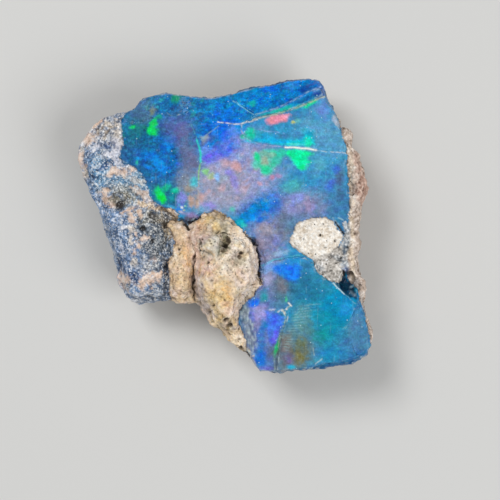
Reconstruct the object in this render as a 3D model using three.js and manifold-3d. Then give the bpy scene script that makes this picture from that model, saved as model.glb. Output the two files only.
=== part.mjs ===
// A rough black opal lying on its back: a layer of dark opal over host rock, with grey potch down the
// left side. Millimetres, +Z out of the colour face, origin under the middle of the outline.

import * as THREE from 'three';
import { mergeVertices } from 'three/addons/utils/BufferGeometryUtils.js';
import { ImprovedNoise } from 'three/addons/math/ImprovedNoise.js';
import Module from 'manifold-3d';

// Driving dimensions.
const BLANK_TOP = 6.35; // top of the blank, over the resting patch, and of the ridge left standing on it
const BLANK_STEPS = 9;
const EDGE_LENGTH = 0.8; // longest straight piece of wall between two outline points
const WALL_ROUGHNESS = 0.22;
const WALL_WAVELENGTH = 2.1;
const OVERLAP = 0.04; // neighbouring regions overlap by this, so that no sliver stands between them
const SHORTEST_EDGE = 0.0015;
const CUT_TOP = 12; // cutters reach this high, clear of everything
const OPAL_BLACK = 0x1d3f5c;

// The outline seen from above, clockwise from the upper left corner.
const OUTLINE = [
  [-6.02, 8.82], [-5.2, 9.2], [-4.1, 9.36], [-2.9, 9.22], [-1.8, 9.05], [-0.9, 9.05], [0.1, 9.22],
  [1.1, 9.55], [2.1, 9.75], [3.3, 9.95], [4.6, 10.3], [6.0, 10.38], [6.7, 10.26], [7.1, 9.7], [7.3, 8.9],
  [7.8, 8.0], [8.1, 7.3], [8.55, 6.25], [8.9, 5.55], [9.35, 4.2], [9.8, 3.22], [10.07, 2.8], [10.07, 2.2],
  [9.6, 1.6], [9.4, 1.0], [9.46, 0.7], [9.25, -0.9], [9.25, -1.9], [9.45, -3.0], [9.52, -4.15],
  [9.8, -5.6], [10.2, -7.05], [10.4, -8.4], [9.95, -9.2], [8.9, -9.8], [7.4, -10.05], [6.45, -10.1],
  [4.6, -10.22], [3.55, -10.36], [2.5, -10.25], [2.05, -9.65], [1.4, -8.8], [0.65, -8.25], [-0.1, -7.65],
  [-0.85, -6.9], [-1.45, -5.85], [-1.95, -5.25], [-2.35, -5.42], [-3.1, -5.4], [-3.85, -5.15],
  [-4.85, -5.32], [-6.1, -5.5], [-6.95, -5.1], [-7.4, -4.25], [-7.5, -3.3], [-7.7, -2.45], [-7.95, -1.6],
  [-8.2, -0.7], [-8.75, 0.98], [-9.5, 2.5], [-10.1, 3.7], [-10.35, 4.8], [-10.25, 5.55], [-9.8, 6.3],
  [-9.05, 7.2], [-8.45, 7.6], [-7.5, 7.85], [-6.8, 7.98], [-6.25, 8.35],
];

// How far the wall stands from the middle, as a share of the outline, going up: [height, share].
const WALL = [
  [0, 0.8], [0.9, 0.89], [1.9, 0.955], [3.1, 0.99], [4.2, 1], [5.1, 1], [5.7, 0.988], [6.4, 0.96],
];

// Lines that regions of the face share.
const POTCH_EDGE = [
  [-6.9, 7.75], [-7.2, 7.3], [-7.1, 5.7], [-7.45, 4.75], [-7.0, 4.3], [-6.2, 4.1], [-5.75, 3.6], [-5.2, 2.4],
  [-5.0, 1.7],
];
const UPRIGHT_CRACK = [
  [-2.35, 7.2], [-2.1, 6.6], [-1.85, 5.9], [-1.65, 5.2], [-1.7, 3.9], [-1.75, 1.6], [-1.7, 0.8],
];
const RIDGE_LOW = [
  [-0.35, 7.2], [1.3, 7.1], [2.3, 7.5], [3.7, 7.8], [4.8, 8.1], [5.5, 8.4], [6.8, 8.95], [7.6, 9.1],
];
const RIDGE_HIGH = [[2.1, 7.8], [3.7, 8.2], [5.0, 8.85], [5.9, 9.4], [6.8, 9.75], [8.0, 10.4]];
const LEVEL_CRACK = [[1.3, 6.3], [2.3, 5.75], [4.4, 5.45], [6.4, 5.3], [8.6, 5.0]];
const PLATE_TOP = [
  [2.35, -2.9], [3.45, -2.4], [5.0, -2.1], [5.8, -2.2], [7.5, -3.9], [8.4, -4.75], [9.9, -5.8],
];
const PLATE_LEFT = [[4.65, -5.6], [3.9, -6.05], [4.35, -6.4], [4.0, -7.6], [3.7, -8.9], [3.55, -10.9]];
const RIM_INNER = [[8.25, 6.5], [8.55, 5.4], [8.6, 3.6], [8.85, 1.8], [8.75, 1.0], [8.45, -0.6], [8.6, -2.8]];

// Sloping and level regions of the face. Each is broken down to the plane through `at` that rises by
// `slope` millimetres per millimetre along X and Y.
const REGIONS = {
  aboveRidge: {
    outline: [
      [-11.5, 11.5], [-11.5, 7.2], ...RIDGE_LOW.slice(0, 2), ...RIDGE_HIGH, [11.5, 10.4], [11.5, 11.5],
    ],
    at: [0, 0, 6.04],
    slope: [0, 0],
  },
  belowRidge: {
    outline: [[-11.5, 7.2], ...RIDGE_LOW, [11.5, 9.1], [11.5, -11.5], [-11.5, -11.5]],
    at: [0, 0, 6.04],
    slope: [0, 0],
  },
  potchShoulder: {
    outline: [...POTCH_EDGE.slice(0, 4), [-11.5, 4.2], [-11.5, 9.5]],
    at: [-7.3, 4.6, 5.72],
    slope: [0.3, -0.04],
  },
  potchShelf: {
    outline: [...POTCH_EDGE.slice(3), [-4.5, 1.3], [-8.0, 0.6], [-11.5, 0.6], [-11.5, 4.2]],
    at: [-5.3, 2.6, 5.78],
    slope: [0.22, 0.06],
  },
  upperStrip: {
    outline: [
      [-7.0, 7.35], [-2.35, 7.2], ...RIDGE_LOW.slice(0, 2), RIDGE_HIGH[0], [0.6, 8.8], [0.1, 11.5],
      [-9, 11.5],
    ],
    at: [-1, 7.2, 5.78],
    slope: [0.02, -0.24],
  },
  blueStrip: {
    outline: [...RIDGE_HIGH, [8.0, 11.5], [0.1, 11.5], [0.6, 8.8]],
    at: [3.7, 8.2, 5.98],
    slope: [0.1, -0.5],
  },
  leftField: {
    outline: [[-7.0, 7.35], ...UPRIGHT_CRACK, [-2.5, 0.2], [-4.5, 1.3], ...POTCH_EDGE.slice().reverse()],
    at: [-2, 4, 6.02],
    slope: [0.075, 0.02],
  },
  upperField: {
    outline: [
      ...RIDGE_LOW.slice(0, 7), [8.2, 6.6], ...LEVEL_CRACK.slice().reverse(), UPRIGHT_CRACK[3],
      ...UPRIGHT_CRACK.slice(0, 3).reverse(),
    ],
    at: [2, 6.5, 5.96],
    slope: [0.012, 0.03],
  },
  middleField: {
    outline: [
      UPRIGHT_CRACK[3], ...LEVEL_CRACK, ...RIM_INNER.slice(2), ...PLATE_TOP.slice(0, 5).reverse(), [1.2, 0.2],
      [-1.7, 0.8],
    ],
    at: [3, 2, 5.84],
    slope: [0.018, 0.024],
  },
  hollowField: {
    outline: [...PLATE_TOP.slice(0, 2), [4.5, -3.9], ...PLATE_LEFT, [1.3, -10.9], [0.6, -8.4], [1.1, -5.0]],
    at: [3.6, -5.5, 5.72],
    slope: [0.2, 0.05],
  },
  lowerPlate: {
    outline: [
      ...PLATE_TOP.slice(1), [9.3, -7.0], [8.9, -7.7], [9.3, -9.0], [8.2, -9.45], [6.0, -10.0],
      ...PLATE_LEFT.slice().reverse(), [4.5, -3.9],
    ],
    at: [6.5, -6, 6.0],
    slope: [0.03, 0.02],
  },
  lowerBevel: {
    outline: [
      [5.9, -9.95], [7.1, -9.65], [8.2, -9.4], [9.4, -9.0], [10.1, -8.45], [11.5, -8.8], [11.5, -11.5],
      [5.6, -11.5],
    ],
    at: [7.5, -9.5, 5.95],
    slope: [0.1, 1.1],
  },
  rightBevel: {
    outline: [
      [9.25, -5.7], [8.85, -6.5], [8.8, -6.9], [8.35, -7.1], [8.7, -7.7], [9.3, -9.0], [11.5, -9.2],
      [11.5, -5.4],
    ],
    at: [8.8, -7, 5.95],
    slope: [-0.42, 0.02],
  },
  rockFloor: {
    outline: [
      [-11.5, 0.6], [-8.0, 0.6], [-4.5, 1.3], [-2.5, 0.2], [-1.7, 0.8], [1.2, 0.2], PLATE_TOP[0], [1.1, -5.0],
      [0.6, -8.4], [1.3, -10.9], [-11.5, -10.9],
    ],
    at: [-2, -2, 4.75],
    slope: [0.05, 0.08],
  },
  rimFloor: {
    outline: [
      [7.6, 9.1], [8.2, 6.6], ...RIM_INNER.slice(1), ...PLATE_TOP.slice(4), [11.5, -5.4], [11.5, 9.1],
    ],
    at: [9, 2, 5.7],
    slope: [-0.3, 0],
  },
};

// Shallow shell-like hollows in the face: [region, x, y, radius, depth].
const DISHES = [
  ['leftField', -4.4, 5.4, 2.4, 0.09], ['middleField', 0.9, 3.7, 2.4, 0.07],
  ['middleField', 5.4, 3.0, 2.3, 0.06], ['upperStrip', -3.3, 8.85, 0.9, 0.12],
  ['lowerPlate', 6.6, -6.6, 2.2, 0.06],
];

// Masses of host rock and potch standing through the face, each a rounded lump that fills its plan outline.
// It rises by `rise` from `foot` over `middle`, and its skin swells and sinks by a share of its reach.
const MASSES = {
  mainBoss: {
    outline: [
      [-1.7, 0.95], [-0.65, 1.15], [0.3, 0.85], [0.95, 0.25], [1.6, -0.45], [2.15, -1.25], [2.3, -2.15],
      [2.25, -3.0], [2.45, -4.0], [1.95, -5.05], [1.25, -5.6], [1.1, -6.2], [1.1, -6.85], [1.35, -7.4],
      [1.6, -8.0], [1.55, -8.6], [0.85, -8.05], [0.1, -7.45], [-0.6, -6.75], [-1.2, -5.75], [-1.85, -5.05],
      [-2.2, -4.2], [-2.25, -2.2], [-2.6, -0.4],
    ],
    middle: [0.1, -2.7], foot: 4.6, rise: 2.3, roughness: 0.11,
  },
  narrowBoss: {
    outline: [
      [-4.15, 0.1], [-3.2, 0.6], [-2.4, 0.1], [-2.05, -2.3], [-2.15, -5.0], [-3.1, -5.25], [-3.9, -4.95],
      [-4.15, -3.0],
    ],
    middle: [-3.1, -2.5], foot: 4.5, rise: 1.75, roughness: 0.1,
  },
  leftBoss: {
    outline: [
      [-4.2, 1.55], [-5.6, 1.85], [-7.0, 1.9], [-8.3, 1.45], [-8.35, 0.4], [-7.95, -0.8], [-7.5, -2.4],
      [-7.2, -3.9], [-6.75, -4.95], [-5.8, -5.25], [-4.85, -5.15], [-4.0, -4.95], [-3.95, -3.2],
      [-4.0, -1.5], [-4.1, 0.1],
    ],
    middle: [-5.9, -1.4], foot: 4.3, rise: 1.75, roughness: 0.13,
  },
  upperLeftCrust: {
    outline: [
      [-9.95, 4.7], [-9.7, 5.8], [-9.0, 6.8], [-8.2, 7.1], [-8.0, 6.2], [-8.4, 5.0], [-8.3, 3.4], [-7.8, 2.1],
      [-8.4, 1.8], [-9.05, 2.5], [-9.65, 3.7],
    ],
    middle: [-9.0, 4.4], foot: 4.6, rise: 0.85, roughness: 0.14,
  },
  paleOval: {
    outline: [
      [5.1, 0.2], [6.1, 0.6], [7.1, 0.6], [7.7, 0.2], [8.3, -0.7], [8.0, -1.5], [7.25, -2.1], [6.5, -2.45],
      [5.75, -2.1], [5.0, -1.6], [4.5, -1.1],
    ],
    middle: [6.4, -0.9], foot: 5.5, rise: 0.56, roughness: 0.05,
  },
  crumblyPatch: {
    outline: [[6.2, -2.35], [7.3, -2.2], [8.3, -2.5], [8.6, -3.2], [8.1, -3.9], [7.2, -3.8], [6.6, -3.1]],
    middle: [7.4, -3.0], foot: 5.6, rise: 0.66, roughness: 0.14,
  },
};
const ROOT = 1.5; // how deep a mass is rooted below its foot
const SKIN_WAVELENGTH = 1.5;
const LARGE_DETAIL = 8;
const SMALL_DETAIL = 5;

// The crust down the right edge: a knobbly roll along this line, thinning to nothing at both ends.
const CRUST_LINE = [
  [8.15, 6.9], [8.45, 5.8], [8.8, 4.7], [9.2, 3.7], [9.45, 2.6], [9.2, 1.5], [8.95, 0.6], [8.95, -0.6],
  [8.85, -1.8], [8.95, -3.0], [9.2, -4.4], [9.6, -5.6],
];
const CRUST_Z = 5.55;
const CRUST_RADIUS = 0.62;
const CRUST_BUMPS = 0.45;
const CRUST_WAVELENGTH = 1.0;
const CRUST_STEPS = 34;

// A round knob set in the top of the main boss.
const KNOB = { at: [-0.9, -1.4, 6.5], radius: 0.75 };

// Pits: [x, y, z, reach x, reach y, reach z].
const PITS = [
  [0.05, -1.15, 6.5, 0.42, 0.62, 0.8], [1.1, -2.05, 6.6, 0.38, 0.34, 0.42],
  [0.4, -6.75, 6.25, 0.3, 0.22, 0.35], [-7.35, 1.4, 5.25, 0.32, 0.36, 0.45],
  [-5.7, -0.2, 5.75, 0.3, 0.18, 0.3], [-5.05, 0.65, 5.6, 0.45, 0.3, 0.45],
  [-5.0, -1.2, 5.7, 0.24, 0.24, 0.3], [6.65, -0.7, 6.0, 0.2, 0.16, 0.22],
  [8.65, -3.8, 5.9, 0.6, 0.75, 0.85], [-8.3, 6.1, 5.36, 0.35, 0.25, 0.28],
  [-2.6, -0.1, 6.0, 0.2, 0.38, 0.55],
];

// Open gaps beside the lumps, as plan outlines with the height that each is open down to.
const GAPS = [
  {
    floor: 4.8,
    outline: [
      [1.62, -0.5], [2.42, -1.2], [2.52, -2.15], [2.78, -2.6], [2.42, -3.1], [2.64, -4.25], [2.44, -4.1],
      [2.1, -3.1], [2.4, -2.55], [2.2, -2.2], [2.1, -1.35],
    ],
  },
  {
    floor: 4.6,
    outline: [
      [-2.2, -1.9], [-2.12, -2.7], [-2.12, -3.8], [-2.05, -5.9], [-2.3, -5.9], [-2.32, -3.8], [-2.28, -2.7],
    ],
  },
  {
    floor: 4.9,
    outline: [
      [-4.0, -1.6], [-3.92, -2.4], [-3.9, -3.4], [-3.95, -5.9], [-4.2, -5.9], [-4.12, -3.4], [-4.15, -2.4],
    ],
  },
];

// Broken faces of the underside and walls. Each takes off what lies beyond a plane that meets the resting
// plane at `reach` from the stone's axis, faces `azimuth` and leans out by `dip`, both in degrees.
const CHIPS = [
  { azimuth: 8, dip: 60, reach: 5.7 }, { azimuth: 52, dip: 67, reach: 6.2 },
  { azimuth: 95, dip: 58, reach: 5.3 }, { azimuth: 140, dip: 64, reach: 5.1 },
  { azimuth: 183, dip: 59, reach: 4.6 }, { azimuth: 232, dip: 66, reach: 4.2 },
  { azimuth: 285, dip: 62, reach: 5.6 }, { azimuth: 322, dip: 60, reach: 6.6 },
  { azimuth: 5, dip: 34, reach: 7.3 }, { azimuth: 100, dip: 36, reach: 6.9 },
  { azimuth: 190, dip: 33, reach: 6.5 }, { azimuth: 284, dip: 35, reach: 7.8 },
];

const noise = new ImprovedNoise();

/** Two octaves of smooth noise, about -1 to 1, at a place measured in millimetres. */
function crumple(x, y, z, wavelength) {
  const coarse = noise.noise(x / wavelength, y / wavelength, z / wavelength);
  const fine = noise.noise(2.3 * x / wavelength, 2.3 * y / wavelength, 2.3 * z / wavelength);
  return coarse + 0.45 * fine;
}

/** Moves every vertex of a geometry by a rule that takes and gives back [x, y, z]. */
function reshape(geometry, rule) {
  const places = geometry.attributes.position;
  for (let i = 0; i < places.count; i += 1) {
    places.setXYZ(i, ...rule(places.getX(i), places.getY(i), places.getZ(i)));
  }
  return geometry;
}

/** A closed plan outline as a shape, with its long sides split into pieces of at most `longest`. */
function planShape(points, longest = Infinity) {
  const split = points.flatMap(([x, y], i) => {
    const [nextX, nextY] = points[(i + 1) % points.length];
    const pieces = Math.max(1, Math.ceil(Math.hypot(nextX - x, nextY - y) / longest));
    return Array.from({ length: pieces }, (_, k) => {
      const share = k / pieces;
      return new THREE.Vector2(x + (nextX - x) * share, y + (nextY - y) * share);
    });
  });
  return new THREE.Shape(split);
}

/** The share of the outline that the wall keeps at a height. */
function wallShare(z) {
  const above = Math.max(1, WALL.findIndex(([height]) => height >= z));
  const [lowZ, lowShare] = WALL[above - 1];
  const [highZ, highShare] = WALL[above];
  return THREE.MathUtils.mapLinear(z, lowZ, highZ, lowShare, highShare);
}

/** The unbroken stone: the outline carried down, drawn in towards its back and roughened all round. */
function blankGeometry() {
  const geometry = new THREE.ExtrudeGeometry(planShape(OUTLINE, EDGE_LENGTH), {
    depth: BLANK_TOP, steps: BLANK_STEPS, bevelEnabled: false,
  });
  return reshape(geometry, (x, y, z) => {
    const radius = Math.hypot(x, y);
    const depthUnder = 1 - THREE.MathUtils.smoothstep(z, 3.4, 5.6);
    const bump = WALL_ROUGHNESS * crumple(x, y, 1.4 * z, WALL_WAVELENGTH);
    const share = wallShare(z) + bump * (0.25 + 1.4 * depthUnder) / radius;
    return [x * share, y * share, z];
  });
}

/** The height of a region's plane over a place in plan. */
function planeHeight({ at, slope }, x, y) {
  return at[2] + slope[0] * (x - at[0]) + slope[1] * (y - at[1]);
}

/** A plan outline with every side moved out by the same distance. */
function grown(outline, distance) {
  const turn = Math.sign(THREE.ShapeUtils.area(outline.map(([x, y]) => new THREE.Vector2(x, y))));
  const outward = ([fromX, fromY], [toX, toY]) => {
    const length = Math.hypot(toX - fromX, toY - fromY);
    return [turn * (toY - fromY) / length, -turn * (toX - fromX) / length];
  };
  return outline.map((corner, i) => {
    const before = outward(outline[(i + outline.length - 1) % outline.length], corner);
    const after = outward(corner, outline[(i + 1) % outline.length]);
    const spread = 1 + before[0] * after[0] + before[1] * after[1];
    const reach = distance / Math.max(spread, 0.5);
    return [corner[0] + reach * (before[0] + after[0]), corner[1] + reach * (before[1] + after[1])];
  });
}

/** A cutter over a region's outline, with its floor on the region's plane. */
function floorCutter(region) {
  const shape = planShape(grown(region.outline, OVERLAP));
  const geometry = new THREE.ExtrudeGeometry(shape, { depth: 1, bevelEnabled: false });
  return reshape(geometry, (x, y, z) => [x, y, z > 0.5 ? CUT_TOP : planeHeight(region, x, y)]);
}

/** A shallow bowl-shaped cutter whose rim lies on the face, `radius` wide and `depth` deep. */
function dishCutter(radius, depth) {
  const sphere = (radius * radius + depth * depth) / (2 * depth);
  const reach = Math.asin(Math.min(1, 1.25 * radius / sphere));
  const rings = 3;
  const profile = Array.from({ length: rings + 1 }, (_, i) => {
    const angle = reach * i / rings;
    return new THREE.Vector2(sphere * Math.sin(angle), sphere * (1 - Math.cos(angle)) - depth);
  });
  const rim = profile[rings];
  const closed = [...profile, new THREE.Vector2(rim.x, rim.y + 3), new THREE.Vector2(0, rim.y + 3)];
  closed[0].x = 0;
  return new THREE.LatheGeometry(closed, 14).rotateX(Math.PI / 2);
}

/** A rounded lump or pit with a slightly crumpled skin. */
function lumpGeometry([x, y, z], [reachX, reachY, reachZ], detail) {
  const geometry = new THREE.IcosahedronGeometry(1, detail);
  return reshape(geometry, (u, v, w) => {
    const swell = 1 + 0.1 * crumple(x + u * reachX, y + v * reachY, z + w * reachZ, 0.8);
    return [x + u * reachX * swell, y + v * reachY * swell, z + w * reachZ * swell];
  });
}

/** How far a closed outline stands from a place inside it, in the direction of the unit vector (u, v). */
function reachTo(outline, [x, y], u, v) {
  const crossings = outline.map(([fromX, fromY], i) => {
    const [toX, toY] = outline[(i + 1) % outline.length];
    const [sideX, sideY] = [toX - fromX, toY - fromY];
    const facing = u * sideY - v * sideX;
    const along = (v * (fromX - x) - u * (fromY - y)) / facing;
    const reach = (sideY * (fromX - x) - sideX * (fromY - y)) / facing;
    return along >= 0 && along <= 1 && reach > 0 ? reach : Infinity;
  });
  return Math.min(...crossings);
}

/** A rounded mass whose girth is its plan outline. */
function massGeometry({ outline, middle, foot, rise, roughness }, detail) {
  return reshape(new THREE.IcosahedronGeometry(1, detail), (u, v, w) => {
    const flat = Math.hypot(u, v);
    const reach = flat > 1e-6 ? reachTo(outline, middle, u / flat, v / flat) : 0;
    const share = reach * flat ** 0.85;
    const [offX, offY] = flat > 1e-6 ? [share * u / flat, share * v / flat] : [0, 0];
    const offZ = w > 0 ? rise * w ** 0.8 : ROOT * w;
    const swell = 1 + roughness * crumple(middle[0] + offX, middle[1] + offY, foot + offZ, SKIN_WAVELENGTH);
    return [middle[0] + offX * swell, middle[1] + offY * swell, foot + offZ * swell];
  });
}

/** The knobbly roll of crust down the right edge. */
function crustGeometry() {
  const line = new THREE.CatmullRomCurve3(CRUST_LINE.map(([x, y]) => new THREE.Vector3(x, y, CRUST_Z)));
  const round = new THREE.Shape().absarc(0, 0, CRUST_RADIUS, 0, 2 * Math.PI);
  const roll = new THREE.ExtrudeGeometry(round, { extrudePath: line, steps: CRUST_STEPS, curveSegments: 5 });
  const centres = line.getSpacedPoints(CRUST_STEPS);
  return reshape(roll, (x, y, z) => {
    const place = new THREE.Vector3(x, y, z);
    const distances = centres.map((centre) => centre.distanceTo(place));
    const nearest = distances.indexOf(Math.min(...distances));
    const along = nearest / CRUST_STEPS;
    const taper = Math.min(1, 0.2 + Math.sqrt(12 * along * (1 - along)));
    const swell = taper * (1 + CRUST_BUMPS * crumple(x, y, z, CRUST_WAVELENGTH));
    return place.sub(centres[nearest]).multiplyScalar(swell).add(centres[nearest]).toArray();
  });
}

/** A large block whose one face is the broken plane of a chip. */
function chipCutter({ azimuth, dip, reach }) {
  const size = 40;
  const block = new THREE.BoxGeometry(size, size, size).translate(size / 2, 0, 0);
  block.rotateY(THREE.MathUtils.degToRad(dip));
  block.translate(reach, 0, 0);
  return block.rotateZ(THREE.MathUtils.degToRad(azimuth));
}

/** The corners of the triangles once the ends of every edge under SHORTEST_EDGE are made one. */
function withoutShortEdges(places, corners) {
  const stand = Array.from({ length: places.length / 3 }, (_, i) => i);
  const find = (i) => (stand[i] === i ? i : find(stand[i]));
  const point = (i) => new THREE.Vector3(...places.slice(3 * i, 3 * i + 3));
  for (let i = 0; i < corners.length; i += 1) {
    const next = i % 3 === 2 ? i - 2 : i + 1;
    const [from, to] = [find(corners[i]), find(corners[next])];
    if (from !== to && point(from).distanceTo(point(to)) < SHORTEST_EDGE) stand[to] = from;
  }
  const kept = new Map();
  for (let i = 0; i < corners.length; i += 3) {
    const face = [find(corners[i]), find(corners[i + 1]), find(corners[i + 2])];
    const key = [...face].sort((a, b) => a - b).join();
    if (new Set(face).size < 3) continue;
    if (kept.has(key)) kept.delete(key);
    else kept.set(key, face);
  }
  return [...kept.values()].flat();
}

/** Builds the whole stone as one closed body. */
async function stoneGeometry() {
  const wasm = await Module();
  wasm.setup();

  const solid = (source) => {
    const bare = source.index ? source.toNonIndexed() : source.clone();
    bare.deleteAttribute('normal');
    bare.deleteAttribute('uv');
    const merged = mergeVertices(bare, 1e-4);
    const corners = [];
    for (let i = 0; i < merged.index.count; i += 3) {
      const [a, b, c] = [0, 1, 2].map((k) => merged.index.getX(i + k));
      if (a !== b && b !== c && c !== a) corners.push(a, b, c);
    }
    return new wasm.Manifold(new wasm.Mesh({
      numProp: 3,
      vertProperties: new Float32Array(merged.attributes.position.array),
      triVerts: new Uint32Array(corners),
    }));
  };

  let stone = solid(blankGeometry());
  for (const region of Object.values(REGIONS)) {
    stone = stone.subtract(solid(floorCutter(region)));
  }
  for (const [region, x, y, radius, depth] of DISHES) {
    const height = planeHeight(REGIONS[region], x, y);
    stone = stone.subtract(solid(dishCutter(radius, depth).translate(x, y, height)));
  }
  for (const mass of Object.values(MASSES)) {
    stone = stone.add(solid(massGeometry(mass, mass.rise > 1 ? LARGE_DETAIL : SMALL_DETAIL)));
  }
  stone = stone.add(solid(crustGeometry()));
  stone = stone.add(solid(lumpGeometry(KNOB.at, [KNOB.radius, KNOB.radius, KNOB.radius], 4)));
  for (const pit of PITS) {
    const [place, reach] = [pit.slice(0, 3), pit.slice(3)];
    stone = stone.subtract(solid(lumpGeometry(place, reach, reach[0] > 0.4 ? 2 : 1)));
  }
  for (const { outline, floor } of GAPS) {
    stone = stone.subtract(solid(floorCutter({ outline, at: [0, 0, floor], slope: [0, 0] })));
  }
  for (const chip of CHIPS) {
    stone = stone.subtract(solid(chipCutter(chip)));
  }

  const cut = stone.getMesh();
  const geometry = new THREE.BufferGeometry();
  geometry.setAttribute('position', new THREE.BufferAttribute(cut.vertProperties, 3));
  geometry.setIndex(withoutShortEdges(cut.vertProperties, cut.triVerts));
  geometry.computeVertexNormals();
  geometry.computeBoundingBox();
  const middle = geometry.boundingBox.getCenter(new THREE.Vector3());
  return geometry.translate(-middle.x, -middle.y, 0);
}

const material = new THREE.MeshStandardMaterial({ color: OPAL_BLACK, roughness: 0.3, metalness: 0 });
const stone = new THREE.Mesh(await stoneGeometry(), material);
stone.name = 'rough_opal';

const model = new THREE.Group();
model.add(stone);
export default model;
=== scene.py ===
"""A rough black opal lying on its back on a pale floor, seen from straight above.

The stone is one piece: a copy of the solid is remeshed, broken and roughened by zone, and coloured.
Places and lengths are in millimetres, in the solid's own frame, until the finished mesh is made.
"""

import math

import bmesh
import bpy
import numpy as np
from mathutils import Matrix, Vector


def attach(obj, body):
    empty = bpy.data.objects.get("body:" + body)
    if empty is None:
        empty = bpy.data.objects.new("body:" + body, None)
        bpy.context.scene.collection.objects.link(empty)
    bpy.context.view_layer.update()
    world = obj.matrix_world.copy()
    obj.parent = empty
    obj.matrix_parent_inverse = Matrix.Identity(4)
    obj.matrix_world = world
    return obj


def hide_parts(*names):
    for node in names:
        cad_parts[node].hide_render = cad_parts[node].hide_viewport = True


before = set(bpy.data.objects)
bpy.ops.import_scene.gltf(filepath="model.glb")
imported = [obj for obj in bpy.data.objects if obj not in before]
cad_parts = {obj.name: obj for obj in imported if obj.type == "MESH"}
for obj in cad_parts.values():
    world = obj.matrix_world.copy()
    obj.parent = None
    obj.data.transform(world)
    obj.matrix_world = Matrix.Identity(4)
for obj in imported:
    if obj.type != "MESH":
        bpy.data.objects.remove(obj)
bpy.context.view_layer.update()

MM = 0.001

# ---------------------------------------------------------------- the stone's zones, seen from above

# From the top down, where the potch meets the narrow lump.
LUMP_SEAM = [
    (-3.9, 0.3), (-4.1, -0.1), (-3.74, -0.4), (-3.45, -1.13), (-3.63, -1.92), (-3.98, -2.6), (-3.81, -3.3),
    (-3.9, -5.11), (-3.95, -13),
]
POTCH = [
    (-6.8, 9.6), (-6.93, 7.77), (-7.25, 7.35), (-7.14, 6.65), (-7.11, 5.67), (-7.47, 4.76), (-7.04, 4.34),
    (-6.32, 4.13), (-5.82, 3.71), (-5.53, 3.08), (-5.25, 2.31), (-5.04, 1.68), (-4.41, 1.33), (-3.71, 1.19),
    (-3.12, 0.72), (-3.3, 0.4), *LUMP_SEAM, (-13, -13), (-13, 13), (-6.8, 13),
]
BOSSES = [
    (-3.3, 0.4), (-2.95, 0.45), (-2.6, -0.1), (-2.35, 0.15), (-1.53, 0.8), (-0.66, 1.03), (0.15, 0.73),
    (0.81, 0.13), (1.52, -0.53), (2.22, -1.4), (2.46, -2.25), (2.44, -3.1), (2.62, -4.15), (1.9, -5.05),
    (1.23, -5.57), (1.02, -6.23), (0.95, -6.9), (1.28, -7.44), (1.51, -8.02), (1.51, -8.86), (1.4, -13),
    *reversed(LUMP_SEAM),
]
RIM = [
    (7.9, 8.2), (8.2, 6.47), (8.51, 5.35), (8.56, 3.53), (8.79, 1.71), (8.72, 0.94), (8.44, -0.6),
    (8.58, -2.91), (8.58, -3.68), (9.12, -4.24), (9.49, -5.15), (9.82, -6.2), (10.1, -7.4), (10.25, -8.3),
    (13, -8.8), (13, 8.2),
]
OVAL = [
    (5.08, 0.17), (6.06, 0.56), (7.06, 0.59), (7.67, 0.17), (8.28, -0.74), (7.98, -1.51), (7.22, -2.14),
    (6.46, -2.49), (5.71, -2.14), (4.94, -1.65), (4.49, -1.16),
]
CRUMBS = [
    (6.1, -2.4), (7.1, -2), (8, -1.55), (8.38, -0.75), (8.25, 0.1), (8.5, 0.4), (8.72, -0.6), (8.66, -2.1),
    (8.75, -3), (8.3, -3.6), (8.1, -3.95), (7.2, -3.85), (6.5, -3.3),
]

# Where the opal's own edge is the stone's outline.
TOP_EDGE = [
    (-6.3, 8.35), (-6.02, 8.82), (-5.2, 9.2), (-4.1, 9.36), (-2.9, 9.22), (-1.8, 9.05), (-0.9, 9.05),
    (0.1, 9.22), (1.1, 9.55), (2.1, 9.75), (3.3, 9.95), (4.6, 10.3), (6.0, 10.38), (6.7, 10.26), (7.1, 9.7),
    (7.3, 8.9), (7.8, 8.0), (8.1, 7.3),
]
LOW_EDGE = [
    (1.4, -8.8), (2.05, -9.65), (2.5, -10.25), (3.55, -10.36), (4.6, -10.22), (6.45, -10.1), (7.4, -10.05),
    (8.9, -9.8), (9.95, -9.2), (10.4, -8.4),
]

LAYER_FOOT = 3.5  # the opal layer's underside, as seen on the walls
POTCH_FOOT = 2.7  # the grey potch under the opal gives way to host rock here
LEFT_FOOT = 1.6  # and on the left side, where the potch is thickest, here
ROCK_LEVEL = 4.0  # gaps, pits and seams are worked only above this
FACE_FOOT = 4.8  # and the cracks and combed marks of the colour face only above this
FACE_LEVEL = 5.0  # above this the mesh stays fine and the face's edge has its pale rim

# ---------------------------------------------------------------- colours

NAVY = "#06386e"
DEEP_BLUE = "#0a62ac"
INK_TEAL = "#0a6e92"
SEA_BLUE = "#0a74b8"
ROYAL = "#0b64ec"
BRIGHT_BLUE = "#0486f4"
STRIP_BLUE = "#1380d8"
VIOLET_BLUE = "#3a6cf4"
STEEL = "#4492c6"
PALE_STEEL = "#64a6cc"
SLATE_BLUE = "#3c7aac"
LILAC = "#9aa2d0"
LILAC_GREY = "#a4a4ba"
MAUVE = "#8a90e8"
MAUVE_GREY = "#8e8cb0"
VIOLET_HAZE = "#4c6cbc"
PURPLE_GREY = "#727296"
PEACH = "#d8aaac"
TAN_FIRE = "#c8a284"
GREEN_FIRE = "#02e05c"
MINT = "#02f6a4"
SEA_GREEN = "#08d8a4"
TEAL = "#0c94b4"
TEAL_BLUE = "#0e88c8"
DARK_TEAL = "#1c6a90"
SLATE_TEAL = "#2c7a92"
SMOKE = "#70787e"
OLIVE_GREY = "#607474"

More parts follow.
